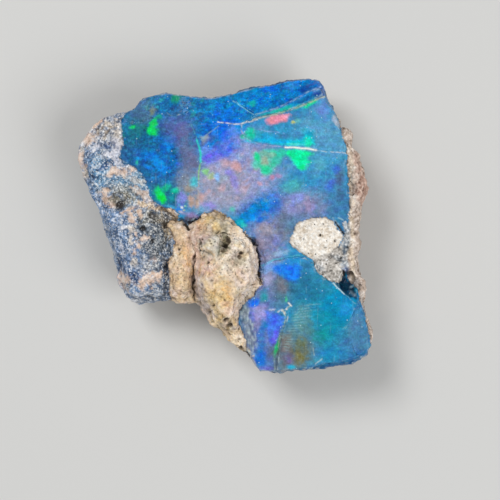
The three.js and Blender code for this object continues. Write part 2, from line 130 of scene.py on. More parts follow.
# Play of colour comes in small domains. Each weave is a ground colour and the colours its domains lean to,
# with the domains' size, how far they lean, and how much longer than wide they are.
WEAVES = {
    "deep": ([DEEP_BLUE, "#04428c", BRIGHT_BLUE, INK_TEAL, NAVY, TEAL_BLUE, "#0478d4", "#1c56b0"],
             0.38, 0.9, 1.3),
    "dim": (["#0a5490", "#042a5a", "#2c6ca0", "#0c6a80", "#123e80", "#2a7090"], 0.34, 0.9, 1.3),
    "teal": ([INK_TEAL, DEEP_BLUE, "#088e84", SEA_BLUE, "#0a5a8e", "#12b07c", NAVY], 0.34, 0.85, 1.1),
    "strip": ([STRIP_BLUE, ROYAL, "#0858b4", TEAL_BLUE, "#1c90f0", "#0c48a4", "#10a0c0"], 0.34, 0.9, 1.6),
    "top": ([SEA_BLUE, INK_TEAL, "#0c74c0", "#105a9c", "#1ea0a8", DARK_TEAL, "#083c70"], 0.32, 0.95, 1.5),
    "steel": ([STEEL, PALE_STEEL, SLATE_BLUE, "#48a4c8", "#5888d0"], 0.7, 0.5, 1.4),
    "pale": ([PALE_STEEL, "#80b4cc", STEEL, "#70a8cc"], 0.8, 0.5, 1.5),
    "slate": ([SLATE_BLUE, "#2c7094", "#4a88bc", STEEL], 0.7, 0.5, 1.4),
    "pastel": ([LILAC, LILAC_GREY, MAUVE, PEACH, "#9cb8d0", "#b4a8c8"], 0.6, 0.7, 1.5),
    "smoky": ([LILAC_GREY, "#aca0b4", "#98acb4", PEACH, LILAC, "#8c9ab4"], 0.5, 0.7, 1.5),
    "mauve": ([MAUVE_GREY, PURPLE_GREY, MAUVE, "#a094a6", "#6c84c8"], 0.5, 0.7, 1.5),
    "violet": ([VIOLET_BLUE, ROYAL, "#2a4cc0", "#5878ec", "#2464b8"], 0.42, 0.8, 1.4),
    "dusk": ([VIOLET_HAZE, PURPLE_GREY, "#4460ac", STRIP_BLUE, "#6c80c0"], 0.5, 0.7, 2.0),
    "cobalt": (["#0876d0", BRIGHT_BLUE, "#065cb0", TEAL_BLUE, "#2c68dc", "#0890c0"], 0.34, 0.85, 1.8),
    "plate": ([TEAL, "#0c8cb8", "#1894a0", TEAL_BLUE], 1.0, 0.45, 1.2),
    "ink": ([DARK_TEAL, "#145a84", "#307ea0", SLATE_TEAL], 0.6, 0.6, 1.2),
    "smoke": ([SMOKE, PURPLE_GREY, "#5c6a78", OLIVE_GREY], 0.45, 0.6, 1.5),
    "glass": ([NAVY, "#0a2c50", "#0c4678", "#123a58", "#0c5c8c", "#1c3c54"], 0.6, 0.8, 1.4),
}

# A mark is (x, y, length, width, turn in degrees, colour or weave) and, where it isn't the usual, strength.
CLOUDS = [
    (-5, 5.6, 6.6, 6, 0, "dim"), (-4.3, 4.9, 3, 4, 20, "deep"), (-6.3, 6.9, 2.4, 2, 0, "teal"),
    (-5.3, 6.3, 2.2, 1.6, -20, "teal", 0.7), (-3.7, 2, 3, 1.6, 0, "teal"), (-4.2, 8.4, 5.2, 1.8, 5, "top"),
    (-5.7, 8, 1.6, 1.6, 40, "smoke", 0.4), (-1.2, 8.2, 3.8, 2.2, 0, "top"), (-1, 6.7, 2, 1.6, 0, "top"),
    (0.4, 8.2, 3.4, 1.8, 10, "strip"), (4.24, 9.34, 6, 2.2, 18, "strip"),
    (6.6, 9.7, 1.3, 1.5, 60, "dusk", 0.7), (3.2, 6.9, 3.8, 1.8, 5, "steel"),
    (5.8, 6.9, 4.6, 2.8, 15, "steel"), (7, 5.3, 3.6, 4.6, 0, "pale"), (6.3, 2.6, 5.2, 5, 0, "steel"),
    (7.7, 1, 2.6, 3.6, 0, "slate"), (0, 5.7, 2.9, 3.8, 0, "violet"), (1.1, 3.9, 4.6, 4.4, 0, "pastel"),
    (-0.3, 2.5, 3.9, 2.9, 0, "smoky"), (2.1, 2.1, 2.8, 2.2, 0, "pastel", 0.7),
    (2.9, 1.1, 3.6, 2.1, 20, "cobalt"), (5.2, 1.2, 3.2, 2.2, 0, "mauve"), (3.2, -0.5, 2.6, 2, -20, "mauve"),
    (4.2, 0, 1.8, 1.8, 0, "smoke", 0.7), (5.3, 0.3, 2.2, 1.2, 0, "slate", 0.5),
    (2.8, -1.9, 2.2, 2, 0, "mauve"), (2.9, -4.2, 1.9, 3.2, 0, "mauve"), (4.1, -4.6, 1.5, 2, 0, "smoke"),
    (2.5, -7.4, 2.6, 5.4, 0, "dusk"), (4, -9.1, 1.9, 3.6, 0, "smoke"), (7.3, -6.6, 6, 6.4, 0, "plate"),
    (5.5, -4.2, 3, 2.6, 0, "ink", 0.65), (5.2, -8.4, 2.6, 2.8, 0, OLIVE_GREY, 0.7),
    (8.4, -5.6, 2.4, 2.1, 0, TEAL_BLUE, 0.7), (9, -8.4, 2.2, 1.9, 0, "slate"),
    (9.6, -7.3, 1.3, 3.5, 10, "slate"), (8.2, -10, 5, 1, 10, "#2f6a94"),
]
GLOWS = [
    (-5.05, 8.1, 0.4, 0.5, 0, "#84906c"), (-6.2, 7.9, 1, 0.9, 30, "#3c6890"),
    (-6, 6.7, 1.3, 1.1, 0, "#127c84", 0.6), (-3.7, 1.9, 0.8, 0.6, 0, "#0a8c94"),
    (-5.2, 4.9, 0.9, 0.6, 20, BRIGHT_BLUE, 0.5), (-4.3, 5.6, 0.7, 1.4, 0, "#0674d0"),
    (-3.8, 6, 0.8, 0.6, 0, "#0a84e4"), (-3.3, 6.85, 1.9, 1.7, -25, "#5c6ab0"),
    (-2.9, 6.6, 1, 0.9, 0, "#64689e"), (-2.5, 4.9, 1.2, 2.4, 10, PURPLE_GREY),
    (-2.2, 4.4, 0.6, 1, 0, "#6c6c94"), (-2.8, 3.1, 1.2, 1.6, 0, "#8a8f9c"),
    (-2.4, 2.6, 0.7, 0.5, 0, "#a09484"), (-3.45, 1.2, 1, 0.3, -10, BRIGHT_BLUE),
    (-2.25, 1.75, 0.6, 0.75, 0, TAN_FIRE), (-1.85, 1.6, 0.3, 0.8, 0, "#c09c78"),
    (-1, 1.35, 0.8, 0.5, 0, "#9c88e4"), (-1.4, 2, 0.5, 0.5, 0, "#d0a498"),
    (0.05, 6.35, 1.1, 1, -35, "#0a68f0"), (-1, 6.2, 0.7, 0.6, 0, "#3a5ca0"),
    (0.55, 6.6, 0.7, 0.7, 0, "#6898e8", 0.6), (0.1, 5.15, 1.2, 0.9, 30, "#1c64ee"),
    (0.5, 5.6, 0.5, 0.6, 20, "#2c78f0"), (-0.5, 5.6, 0.6, 0.5, 0, "#2858c8"),
    (-0.9, 4.75, 1, 0.7, 0, "#645cf0"), (0.85, 4.1, 0.9, 0.7, -15, "#e0a8a4"),
    (0.15, 4.35, 0.7, 0.6, 0, "#c4a4b0"), (5.6, 6.5, 0.4, 0.8, 0, "#30b4d0"),
    (3.15, 4.55, 0.5, 0.6, 10, "#b8b490"), (3.65, 4.8, 0.65, 0.85, -15, "#1cd8ac"),
    (3, 3.85, 0.62, 0.55, 10, "#24dcac"), (5.1, 7.3, 0.4, 0.3, 0, "#6cb8b8"), (3.2, 9.6, 1, 0.6, 0, ROYAL),
    (4.6, 9.75, 0.9, 0.5, 10, "#3a90f0", 0.6), (5.6, 9.5, 0.8, 0.4, 20, "#0c50b0"),
    (6.9, 8.1, 0.9, 1.2, 0, "#7090dc"), (7.5, 3.05, 0.7, 0.5, 30, "#4468e4"),
    (7.3, 2.6, 0.5, 0.4, -30, "#3c78e4"), (8, 3.4, 0.6, 1.3, 0, "#4c5c80"),
    (8.1, 2.3, 0.5, 1.2, 0, "#44688c", 0.6), (3.33, 3.28, 0.34, 0.34, 0, "#d888a8"),
    (3.75, 3.5, 0.4, 0.3, 0, "#c090c0"), (2.49, 2.83, 0.32, 0.36, 0, "#d49ca8"),
    (0.72, 3, 0.4, 1, 18, "#9088e0"), (0.3, 3.6, 0.5, 0.4, 30, "#8888f0"), (4.7, 2.75, 1.2, 1, 0, "#4cb8b8"),
    (6.6, 4.3, 0.7, 0.8, 0, "#60b8c8", 0.6), (3.5, 1.4, 1, 0.9, 30, "#0872e0"),
    (0.53, 1.1, 0.36, 0.36, 0, "#40ccb8"), (5, 1.9, 0.8, 0.6, 0, "#8ca0e8"),
    (5.9, 1.4, 0.8, 0.7, 0, "#a090b8"), (4.7, 1, 0.7, 0.6, 0, "#98a0d8"),
    (2.9, -0.3, 0.9, 0.7, -20, "#b0a4ac"), (2.4, -1.3, 0.8, 0.7, 0, "#a89cb4"),
    (3.9, -1.95, 1.1, 0.3, 8, "#a0c4e8"), (2.77, -5.05, 0.5, 0.8, -25, "#1c9c9c"),
    (4.1, -4.2, 0.7, 1, 0, "#80787e"), (2.5, -6.15, 1.3, 1.1, 0, "#9c98e0", 0.9),
    (3.1, -8.1, 0.5, 1.2, -10, "#7484c8"), (2.9, -10, 0.9, 0.4, 0, "#7c74d8"),
    (3.3, -9.6, 0.5, 0.7, 0, "#5c80d8"), (4.45, -9.3, 0.7, 0.7, 0, "#6c68b8"),
    (4.2, -8.2, 0.6, 1.2, 0, "#848478"), (4.15, -8.9, 0.7, 1.8, 5, "#70646c", 0.6),
    (4.4, -9.5, 0.3, 0.3, 0, "#7c70b0"), (5.3, -8.95, 1.2, 1.6, -15, "#7a7640"),
    (5.3, -8.3, 0.7, 0.7, 0, "#6c7c58"), (5.1, -9.3, 0.8, 0.8, 0, "#80783c", 0.6),
    (7.2, -6.7, 1.6, 2, 0, "#088ca8"), (6.8, -7.7, 1.2, 0.9, 30, "#049494"),
    (7.6, -8.9, 2.2, 0.8, 0, "#1084c4", 0.6), (5.4, -6.4, 1.2, 1.4, 0, "#58949c"),
    (5.6, -7.2, 1, 0.8, 0, "#588c8c"), (8.5, -5.8, 0.9, 0.8, -30, "#28a0e0"),
]
FLASHES = [
    (-4.95, 7.1, 0.46, 0.8, -5, GREEN_FIRE), (-5, 6.6, 0.62, 0.62, 20, GREEN_FIRE),
    (-4.55, 7.6, 0.4, 0.35, 0, "#0fb48a", 0.8), (-3.4, 8.95, 0.6, 0.55, 0, "#0c9464"),
    (-6.45, 6.93, 0.34, 0.28, 0, GREEN_FIRE), (-4.55, 2.2, 0.55, 0.95, 20, GREEN_FIRE),
    (-4.72, 2.55, 0.35, 0.4, 0, GREEN_FIRE), (-4.35, 1.8, 0.4, 0.7, 10, "#04f048"),
    (-4.1, 2.6, 0.6, 0.4, 20, "#0cc48c", 0.8), (-3.55, 2.35, 0.5, 0.34, 0, SEA_GREEN, 0.8),
    (-4.55, 4.3, 1.4, 0.55, -48, "#0298f4"), (-5.3, 4.1, 0.5, 0.3, -40, "#0688ec"),
    (-3.9, 5.5, 0.3, 0.6, 20, "#0690ec"), (-6, 4.7, 0.5, 0.22, 0, "#0694f0", 0.8),
    (-6.1, 4.35, 0.2, 0.3, 0, "#30e0b0"), (-3, 1.95, 0.7, 0.6, 0, MAUVE),
    (-3.1, 1.45, 0.5, 0.3, 0, "#6878e4", 0.8), (-2.15, 2.95, 0.52, 0.6, 0, "#48c8dc"),
    (-1.3, 3.75, 0.55, 0.4, 30, "#88d088"), (-0.9, 3.45, 0.55, 0.45, 0, "#a8cc98", 0.8),
    (-0.45, 3.35, 0.34, 0.6, 0, "#88bcf8"), (-1.32, 5.3, 0.34, 0.7, -12, "#6c94f0"),
    (1.85, 6.45, 0.65, 0.5, -15, "#0cdca8"), (1.35, 6.15, 0.45, 0.26, 20, "#18c8a8"),
    (2.3, 6.2, 1, 0.5, -10, "#20b0b8"), (3.1, 6.05, 1.6, 0.55, -8, "#12a4d8"),
    (3.9, 5.82, 2.6, 0.4, -4, "#08b8ec"), (4.9, 5.8, 1.8, 0.44, -3, "#0cd0d8"),
    (5.75, 5.95, 0.6, 0.75, 0, "#14dcb8"), (5.1, 5.05, 1.7, 0.42, 0, MINT), (5.35, 4.6, 0.95, 0.7, -30, MINT),
    (5.45, 4.15, 0.55, 0.5, 0, "#04f090"), (2.9, 4.85, 0.8, 0.6, 0, "#90a8a0"),
    (2.35, 4.75, 0.34, 0.7, 20, "#1cdc98"), (2.6, 4.3, 0.4, 0.6, 35, "#38d8a4"),
    (3.35, 4.35, 0.45, 0.6, -35, "#3cdcb0"), (4.05, 5.1, 0.5, 0.4, 0, "#30d4bc", 0.8),
    (3.1, 5.2, 0.7, 0.24, 0, "#54ccb8", 0.8), (3.55, 7.38, 1.15, 0.5, 14, "#ec90a8"),
    (4.15, 7.58, 0.8, 0.28, 14, "#f4a0b0"), (4.83, 7.22, 0.28, 0.18, 0, "#d8d850"),
    (6.1, 8.52, 0.85, 0.26, 24, "#06dca0"), (5.2, 8.2, 0.7, 0.24, 22, "#18b8b0", 0.8),
    (3.95, 8, 1.2, 0.3, 16, "#0cc0a0"), (1.85, 8.6, 0.5, 0.34, -10, "#10b4b0"),
    (7.75, 3.9, 0.45, 0.5, 20, "#3870e4", 0.7), (1.9, 0.6, 1.2, 0.5, 20, "#0488e8"),
    (1, 0.25, 0.7, 0.4, 0, "#0cbcd0"), (1.35, 0.02, 0.4, 0.3, 0, "#30d0c8"),
    (2.6, 0.4, 0.8, 0.34, 25, "#0a70d8"), (4.25, -2.95, 1.6, 0.7, 12, "#2888f8"),
    (4.85, -3.3, 0.9, 0.95, -20, "#0878f8"), (4.9, -2.5, 1.2, 0.4, -10, "#1c94d8", 0.8),
    (3.2, -2.95, 1.2, 0.6, 0, "#68a0ec", 0.8), (3, -3.7, 0.6, 0.8, 0, "#a8a8d0", 0.8),
    (2.05, -5.42, 0.7, 0.5, 30, "#107cf4"), (2.3, -6.9, 0.5, 0.9, 0, "#948cbc", 0.8),
    (1.85, -6.2, 0.34, 0.9, 0, "#3a70f8"), (3.6, -6.65, 0.7, 0.9, 20, "#2c64fc"),
    (2.6, -7.6, 0.4, 1.8, -8, "#3c7cc8", 0.8), (3.68, -8.55, 0.2, 1.05, -10, "#2cc478"),
    (2.4, -9.2, 1, 1.2, 20, "#1474dc"), (4.55, -9.98, 0.5, 0.28, 0, "#1cacd4"),
]

# Flashes and broken faces with straight sides: outline, colour or weave, strength, softness in mm.
FACETS = [
    ([(4.34, 5.12), (5.92, 5.05), (5.7, 4.44), (5.36, 3.95), (5.01, 4.2), (4.59, 4.72)], MINT, 0.95, 0.11),
    ([(2, 4.93), (2.63, 5.1), (4.2, 5.16), (3.8, 4.3), (2.95, 3.5), (2.35, 4.02)], "#3cc8b0", 0.7, 0.2),
    ([(1.16, 5.84), (1.79, 6.05), (3.05, 5.95), (4.1, 5.97), (5.01, 5.9), (5.43, 6.15), (5.78, 6.6),
      (6.2, 6.6), (6.34, 5.63), (5.29, 5.52), (4.45, 5.56), (2.63, 5.72)], "#0ca4d4", 0.9, 0.12),
    ([(3.6, 5.72), (5.3, 5.84), (5.7, 6.2), (6.1, 6.2), (6.25, 5.66), (4.9, 5.58)], "#0cd4cc", 0.9, 0.12),
    ([(2.91, 7.32), (3.24, 7.66), (4, 7.74), (4.47, 7.57), (4.34, 7.28), (3.75, 7.24), (3.16, 7.06)],
     "#f094a8", 0.9, 0.09),
    ([(1.44, 5.98), (1.65, 6.4), (1.93, 6.52), (2.14, 6.31), (2.07, 5.98), (1.72, 5.89)],
     "#0cd8a4", 0.85, 0.12),
    ([(4.9, 8.45), (5.94, 9.05), (6.85, 9.6), (7, 9.05), (6.29, 8.9), (5.44, 8.5)], "#0a4a94", 0.85, 0.08),
    ([(2.4, 7.62), (3.19, 7.85), (3.89, 8.11), (4.66, 8.42), (4.59, 8.14), (3.6, 7.76)],
     "#0cb8a8", 0.85, 0.06),
    ([(5.45, 8.2), (5.85, 8.53), (6.35, 8.8), (6.25, 8.5), (5.78, 8.18)], "#04e49c", 1, 0.06),
    ([(7.51, 7.66), (7.72, 7.66), (8, 7.15), (8.05, 6.82), (7.85, 6.89), (7.55, 7.24)],
     "#c8ccd8", 0.8, 0.06),
    ([(3.26, -2.9), (4.18, -2.62), (5.37, -2.9), (5.1, -3.45), (4.64, -3.9), (4.27, -3.72), (3.54, -3.26)],
     "#1c80f4", 0.95, 0.12),
    ([(2.35, -2.98), (3.08, -2.62), (3.4, -2.9), (2.91, -3.45), (2.44, -3.26)], "#84b0ec", 0.85, 0.12),
    ([(2.44, -4.54), (3.08, -4.27), (2.99, -5.18), (2.53, -5.28)], "#2898b0", 0.6, 0.14),
    ([(1.71, -5.28), (2.26, -5.28), (2.35, -5.55), (1.98, -5.73), (1.67, -5.46)], "#1674f0", 0.95, 0.06),
    ([(2.9, -6), (4.2, -6.42), (3.91, -7.2), (3.63, -7.93), (3.26, -8.48), (3, -7.56)],
     "#4878f4", 0.9, 0.1),
    ([(7.75, -3.72), (8.3, -3.17), (8.5, -3.6), (8.94, -4.17), (9.3, -4.73), (9.21, -5.18), (8.67, -5),
      (8.21, -4.64), (7.75, -4.09)], "#06304e", 0.95, 0.07),
    ([(8.37, -7.18), (8.79, -6.76), (9.3, -5.92), (9.63, -6.48), (10.05, -7.67), (10.12, -8.44),
      (9.63, -8.86), (8.93, -8.37)], "#4884a8", 0.6, 0.15),
    ([(-1.68, 6.19), (-1.15, 6.33), (-1.04, 6.12), (-1.5, 5.7)], "#a0a8a8", 0.85, 0.08),
    ([(5.01, -10.12), (5.99, -9.85), (7.39, -9.6), (8.79, -9.15), (9.7, -8.6), (10.05, -8.86), (8.93, -9.7),
      (7.39, -10.1), (5.29, -10.4)], "#1c5c96", 0.75, 0.12),
]
# Last touches inside the facets, laid like the flashes.
TOUCHES = [
    (2.3, 4.7, 0.36, 0.5, 10, "#14e490"), (2.15, 4.25, 0.5, 0.6, 20, "#50d0b8"),
    (2.85, 3.85, 0.5, 0.5, 0, "#20e0a8"), (2.8, 4.5, 0.5, 0.6, 10, "#a8b49c"),
    (3.6, 4.95, 0.8, 0.4, 0, "#20d8ac"), (2.9, 3.95, 0.5, 0.5, 0, "#28dca8", 0.7),
    (3.4, 5.86, 2.4, 0.2, -4, "#10b8f0"), (3.3, 4.9, 0.6, 0.3, 0, "#98b0a4", 0.6),
    (5.1, 5.42, 0.5, 0.08, -4, "#f4e4a0"), (4.55, 5.44, 0.3, 0.07, -4, "#f0b880", 0.7),
    (5.85, 5.8, 0.42, 0.5, 0, "#18e0b0"), (4.9, 5.65, 1.2, 0.12, -3, "#60f0e4", 0.7),
    (3.5, -7.9, 0.35, 0.9, -14, "#6c60f4"), (2.35, -6.1, 0.8, 0.7, 0, "#a8a4dc", 0.7),
    (2.3, -5.85, 1.3, 0.34, 8, "#9490bc", 0.6), (1.35, -6.1, 0.6, 0.8, 0, "#8ea8b4", 0.7),
    (1.62, -6.9, 0.5, 1.4, 8, "#8aa4b4", 0.7), (1.75, -8, 0.55, 1.4, 12, "#7c96ac", 0.6),
    (8.6, -4.2, 1.2, 0.9, -40, "#04243c"), (8.9, -4.3, 0.3, 0.12, 30, "#8cb4c4"),
    (8.95, -4.75, 0.5, 0.2, -40, "#6c8090"), (1.65, -8.9, 0.8, 0.4, -50, "#84705c"),
    (1.72, -8.8, 0.16, 0.14, 0, "#ecdcc4", 1), (1.55, -9.05, 0.18, 0.14, 0, "#241e1c", 1),
    (2, -9.15, 0.2, 0.14, 0, "#e8d4bc", 1), (1.85, -9.4, 0.3, 0.18, -50, "#3c3028", 1),
    # The dark touch at (-2.45, 0.45) is a painted shadow between the narrow lump and the main lump; the
    # near-white touches at (4.3, -5.85) and (4.05, -5.95) are painted highlights on the step.
    (-2.45, 0.45, 0.9, 0.55, 35, "#5c4248", 0.9), (4.3, -5.85, 0.18, 0.1, 30, "#fcfcf4", 1),
    (4.05, -5.95, 0.2, 0.1, 10, "#fcfcf4", 1), (4.33, -5.14, 0.14, 0.3, 0, "#48c880"),
    (3.3, -5.9, 0.5, 0.1, 10, "#c8d0e8", 0.8), (-0.85, 8.95, 0.8, 0.16, 5, "#b8c8d4"),
    (1.3, 9.45, 1, 0.12, 12, "#a8c4dc", 0.6), (-6.2, 8.5, 0.5, 0.2, 50, "#a8a49c", 0.8),
    (-2.97, 1.22, 0.16, 0.12, 0, "#f4faf4", 1), (-2.75, 1.34, 0.12, 0.1, 0, "#b0f0b8"),
    (-3.15, 1.38, 0.12, 0.1, 0, "#40d8a0"), (-2.85, 1.05, 0.14, 0.08, 0, "#e0e8a0"),
    (-3.05, 0.92, 0.34, 0.12, -10, "#d8d8e4"), (-2.3, 0.72, 1.3, 0.3, -14, "#9c8cc4"),
    (-3.7, 1.28, 0.7, 0.16, -14, "#58b8d8", 0.7),
]

# Granular stone, as four tones from its dark joints to its palest grains.
TONES = {
    "blue": ["#2a3a56", "#5c7ca6", "#92aaca", "#f2f4fa"],
    "aqua": ["#24405c", "#5088ae", "#88b4d0", "#eef6fa"],
    "navy": ["#0a1630", "#1c4070", "#44689c", "#c8d4e4"],
    "char": ["#14181e", "#464e56", "#767e84", "#d4d4d2"],
    "coal": ["#06080c", "#1c222c", "#343c4c", "#8c94a0"],
    "snow": ["#a4a8bc", "#d8d8e2", "#ecebf2", "#ffffff"],
    "chalk": ["#6c7078", "#c4bab0", "#f0e2d2", "#fffaf2"],
    "granite": ["#303c4e", "#848c98", "#d0ccc8", "#ffffff"],
    "clay": ["#c8a890", "#e8c8b0", "#f4dac8", "#fbeadc"],
    "brown": ["#2c241c", "#74644f", "#a8947c", "#e8dac8"],
    "olive": ["#3c3628", "#847a64", "#b0a48c", "#e8e0cc"],
    "tan": ["#7e5c40", "#d2b28e", "#ecd2b0", "#fcecd4"],
    "yellow": ["#8e6a38", "#e0b878", "#f4d8a0", "#fff0cc"],
    "orange": ["#8e5c30", "#e0a464", "#f0c490", "#fce4c4"],
    "pink": ["#80584c", "#d8ac9c", "#f0d0c0", "#fff0e4"],
    "blush": ["#9a7660", "#e8c4ac", "#f6dccc", "#fff4ec"],
    "lilac": ["#6c6068", "#bcb0b0", "#d8ccca", "#f4ece8"],
    "cream": ["#9c8870", "#e6d2b6", "#f6e6d0", "#fffaf0"],
    "drab": ["#4c4230", "#a4927a", "#ccbca0", "#f0e4cc"],
    "ball": ["#98968a", "#cccabc", "#dedccf", "#f2f0e8"],
    "moss": ["#18170c", "#4a4830", "#7c795c", "#b4b090"],
    "shade": ["#2c2a22", "#6e6858", "#9c9684", "#d4cebc"],
    # The next tone is cream made paler still: painted light on the main lump's right-hand slopes, which face
    # away from the key lamp.
    "milk": ["#c0a286", "#fae4cc", "#fff2e2", "#fffaf2"],
    "rim": ["#5c4a40", "#b09c8c", "#d8c8bc", "#f6ece2"],
    "bulge": ["#5c3f34", "#b08a7a", "#d0b0a0", "#eedccc"],
    "oval": ["#8c7c60", "#e0d2c0", "#f4ece0", "#fffdf8"],
    "crumb": ["#2c2a28", "#b0aaa2", "#e2dcd4", "#ffffff"],
    "rubble": ["#142030", "#6484a0", "#c4ccd2", "#ffffff"],
    "back": ["#4a3d32", "#86725f", "#a58f79", "#cdbba6"],
}
# How much of the fine grain shows in the smoother tones.
CALM = {"clay": 0.25, "snow": 0.35, "ball": 0.35, "chalk": 0.6, "lilac": 0.5, "moss": 0.5, "bulge": 0.6}
POTCH_CLOUDS = [
    (-8.4, 6.7, 3.2, 2.8, 30, "granite", 0.7), (-6.3, 3, 2.2, 3, -30, "aqua"),
    (-8.5, 3.6, 1.6, 2.6, 20, "aqua", 0.7), (-9.5, 6.1, 1.1, 0.8, 20, "clay"),
    (-8.9, 7.2, 1.3, 0.35, 35, "clay"), (-8, 7.1, 1, 0.4, 50, "chalk"), (-8.7, 6.6, 1.2, 0.25, 40, "brown"),
    (-8.2, 6.5, 1.4, 0.25, 45, "brown"), (-7.45, 6.2, 0.5, 1.8, 5, "chalk"),
    (-7.6, 5.2, 0.8, 1.6, 10, "snow"), (-8.2, 4.85, 0.7, 0.5, 20, "snow"), (-9.1, 5.35, 0.7, 0.3, 40, "snow"),
    (-8.3, 5.6, 0.9, 0.5, 0, "navy"), (-10.1, 5.35, 0.6, 0.5, 0, "char"),
    (-10.15, 4.3, 0.65, 1.5, 12, "clay"), (-9.8, 3.5, 0.4, 0.8, 25, "chalk"),
    (-8.3, 4.2, 0.9, 0.5, 20, "navy"), (-7.2, 3.75, 1.3, 0.5, -10, "clay"),
    (-6.6, 4.05, 0.7, 0.3, -30, "clay"), (-8, 3.6, 0.5, 0.4, 20, "clay"),
    (-7, 2.3, 2.6, 1, -10, "olive", 0.6), (-6.3, 3.2, 1.6, 0.3, -20, "chalk", 0.6),
    (-5.7, 2.1, 1.6, 0.5, -35, "clay", 0.7), (-8.3, 2, 0.6, 0.9, 20, "clay"),
    # The char and coal clouds down the potch's right side, by the seam with the narrow lump, are dark potch
    # that is partly painted shade where the potch turns down to the seam.
    (-7.9, 1.5, 0.5, 0.5, 20, "clay"), (-7.2, 1.8, 1.4, 0.8, 5, "shade"), (-5, 0, 2.9, 2.5, 10, "char"),
    (-4, -0.7, 0.9, 1.6, 0, "char"), (-6.2, 0.6, 0.8, 0.8, 0, "char"), (-4.8, -1.6, 1.7, 2.4, 0, "char"),
    (-4.7, -3.6, 1.2, 3.2, 5, "char", 0.7), (-4.15, -3.4, 0.5, 2.8, 0, "coal"),
    (-4.95, 0.65, 1.5, 0.8, -10, "shade", 0.7), (-6.5, 1.15, 1.6, 0.3, 25, "clay"),
    (-5.6, 1.5, 1.2, 0.24, -10, "tan"), (-5.9, 0.85, 0.3, 0.4, 20, "clay"), (-4.9, 1.3, 1.6, 0.3, -15, "tan"),
    (-3.9, 1, 1.5, 0.5, -20, "tan"), (-3.4, 0.2, 1.1, 1.6, -20, "tan", 1),
    (-3.9, -0.35, 0.5, 0.9, 10, "drab"), (-4.35, 0.45, 0.5, 0.3, 0, "drab", 0.6),
    (-6.4, 0.5, 0.45, 0.7, -10, "clay"), (-6.5, -0.35, 0.35, 0.6, -5, "chalk"),
    (-6.15, -0.6, 0.3, 0.3, 0, "clay"), (-6.5, -1.1, 0.35, 0.6, 30, "chalk"),
    (-6.05, -1.35, 0.3, 0.4, 30, "clay"), (-6.25, -1.9, 0.4, 0.6, -8, "clay"),
    (-6.3, -2.6, 0.35, 0.6, -8, "chalk"), (-7, -0.1, 0.4, 0.3, 30, "snow"),
    (-7.2, -1.5, 0.4, 0.4, 30, "snow", 0.6), (-5.55, -0.95, 0.5, 0.35, 0, "clay"),
    (-5.05, -2.5, 0.5, 0.3, 0, "clay", 0.6), (-5.5, -3, 1.6, 1.2, 0, "granite", 0.5),
    (-7.15, -2.6, 0.8, 0.9, 0, "navy", 0.7), (-6.7, -3.3, 1.3, 0.7, -35, "navy"),
    (-6.15, -3.75, 0.5, 0.8, -20, "navy"), (-5.25, -3.75, 1.5, 0.75, 15, "clay", 1),
    (-5.75, -4.15, 0.5, 0.5, 20, "clay"), (-7.15, -3.8, 0.7, 0.9, 30, "clay"),
    (-6.9, -4.5, 0.8, 0.3, -30, "clay", 0.7), (-6.8, -4.25, 0.6, 0.3, -40, "char", 0.7),
    (-5.8, -5.2, 2.2, 0.7, 5, "granite", 0.7),
]
# The palest cream clouds over the main lump are painted light, most of all on its right-hand slopes.
BOSS_CLOUDS = [
    (1, -3.2, 3.2, 4.4, 0, "milk"), (1.15, -4.6, 1.4, 1.6, 0, "cream", 1), (-0.5, 0.45, 2, 0.9, 0, "cream"),
    (-0.35, -0.15, 1.3, 1, -10, "shade", 1), (0, -0.7, 1.4, 0.5, -10, "shade"),
    (-0.75, 0.5, 0.3, 0.4, 0, "shade", 0.6), (-2.2, -1, 0.9, 2.2, 10, "blush"),
    (1.3, -0.8, 1, 1.8, 35, "milk"), (0.9, -1.6, 0.9, 1.4, -25, "milk", 1), (2, -2.4, 0.9, 2.4, 5, "milk", 1),
    (-0.7, -2.35, 1.3, 0.8, 20, "cream"), (-0.85, -1.35, 1.5, 1.45, -15, "ball", 1),
    (0.1, -1.3, 0.75, 1.3, -8, "moss", 1), (1.1, -2.3, 1.2, 0.8, 15, "shade"),
    (0.6, -2.6, 1.3, 0.7, 20, "drab", 0.6), (0, -2.9, 0.8, 0.5, 0, "milk"),
    (1.3, -3.6, 1.2, 1.4, 0, "blush", 0.6), (0.5, -4.1, 1.1, 0.9, 0, "lilac", 0.45),
    (-0.5, -4.9, 1.9, 2.6, -20, "yellow"), (-0.1, -4.6, 1, 0.7, 0, "orange"),
    (0.1, -5.3, 0.8, 0.8, 0, "orange", 0.6), (-0.8, -5.7, 0.8, 0.8, -30, "drab"),
    (-0.6, -6.5, 1.4, 0.9, -30, "yellow"), (0.5, -5.9, 0.9, 0.9, 0, "blush"),
    (0.2, -7, 1.2, 0.9, 20, "shade"), (0.4, -8, 1.4, 0.9, -40, "yellow", 0.6), (1, -8.1, 0.9, 1, 30, "cream"),
    # The lilac clouds down the main lump's left side are partly painted shade on that side.
    (-1.75, -4.3, 0.7, 3.2, 8, "lilac", 0.95), (-1.3, -5.8, 0.7, 1.6, 28, "lilac"),
    (-2.75, -2.4, 0.5, 1.6, 0, "orange"), (-3.4, -2.2, 0.6, 0.6, 0, "cream"),
    (-3.4, -4.9, 1.2, 0.9, 0, "blush"), (-2.6, -4.7, 0.5, 1.1, 0, "drab", 0.6),
    (-2.5, 0.2, 1.1, 0.9, 30, "brown"),
    (-1.4, 0, 0.6, 0.6, 0, "orange", 0.9), (-0.9, 0.15, 0.9, 0.7, -40, "yellow", 0.9),
    (-1.6, -0.75, 1.1, 1, 0, "pink", 1), (-1.95, -2.1, 0.5, 1.4, 5, "pink", 0.9),
    (-1.25, -3, 1.1, 1.2, 0, "pink", 1), (-0.3, -5, 1, 1.2, 0, "yellow", 0.9),
]
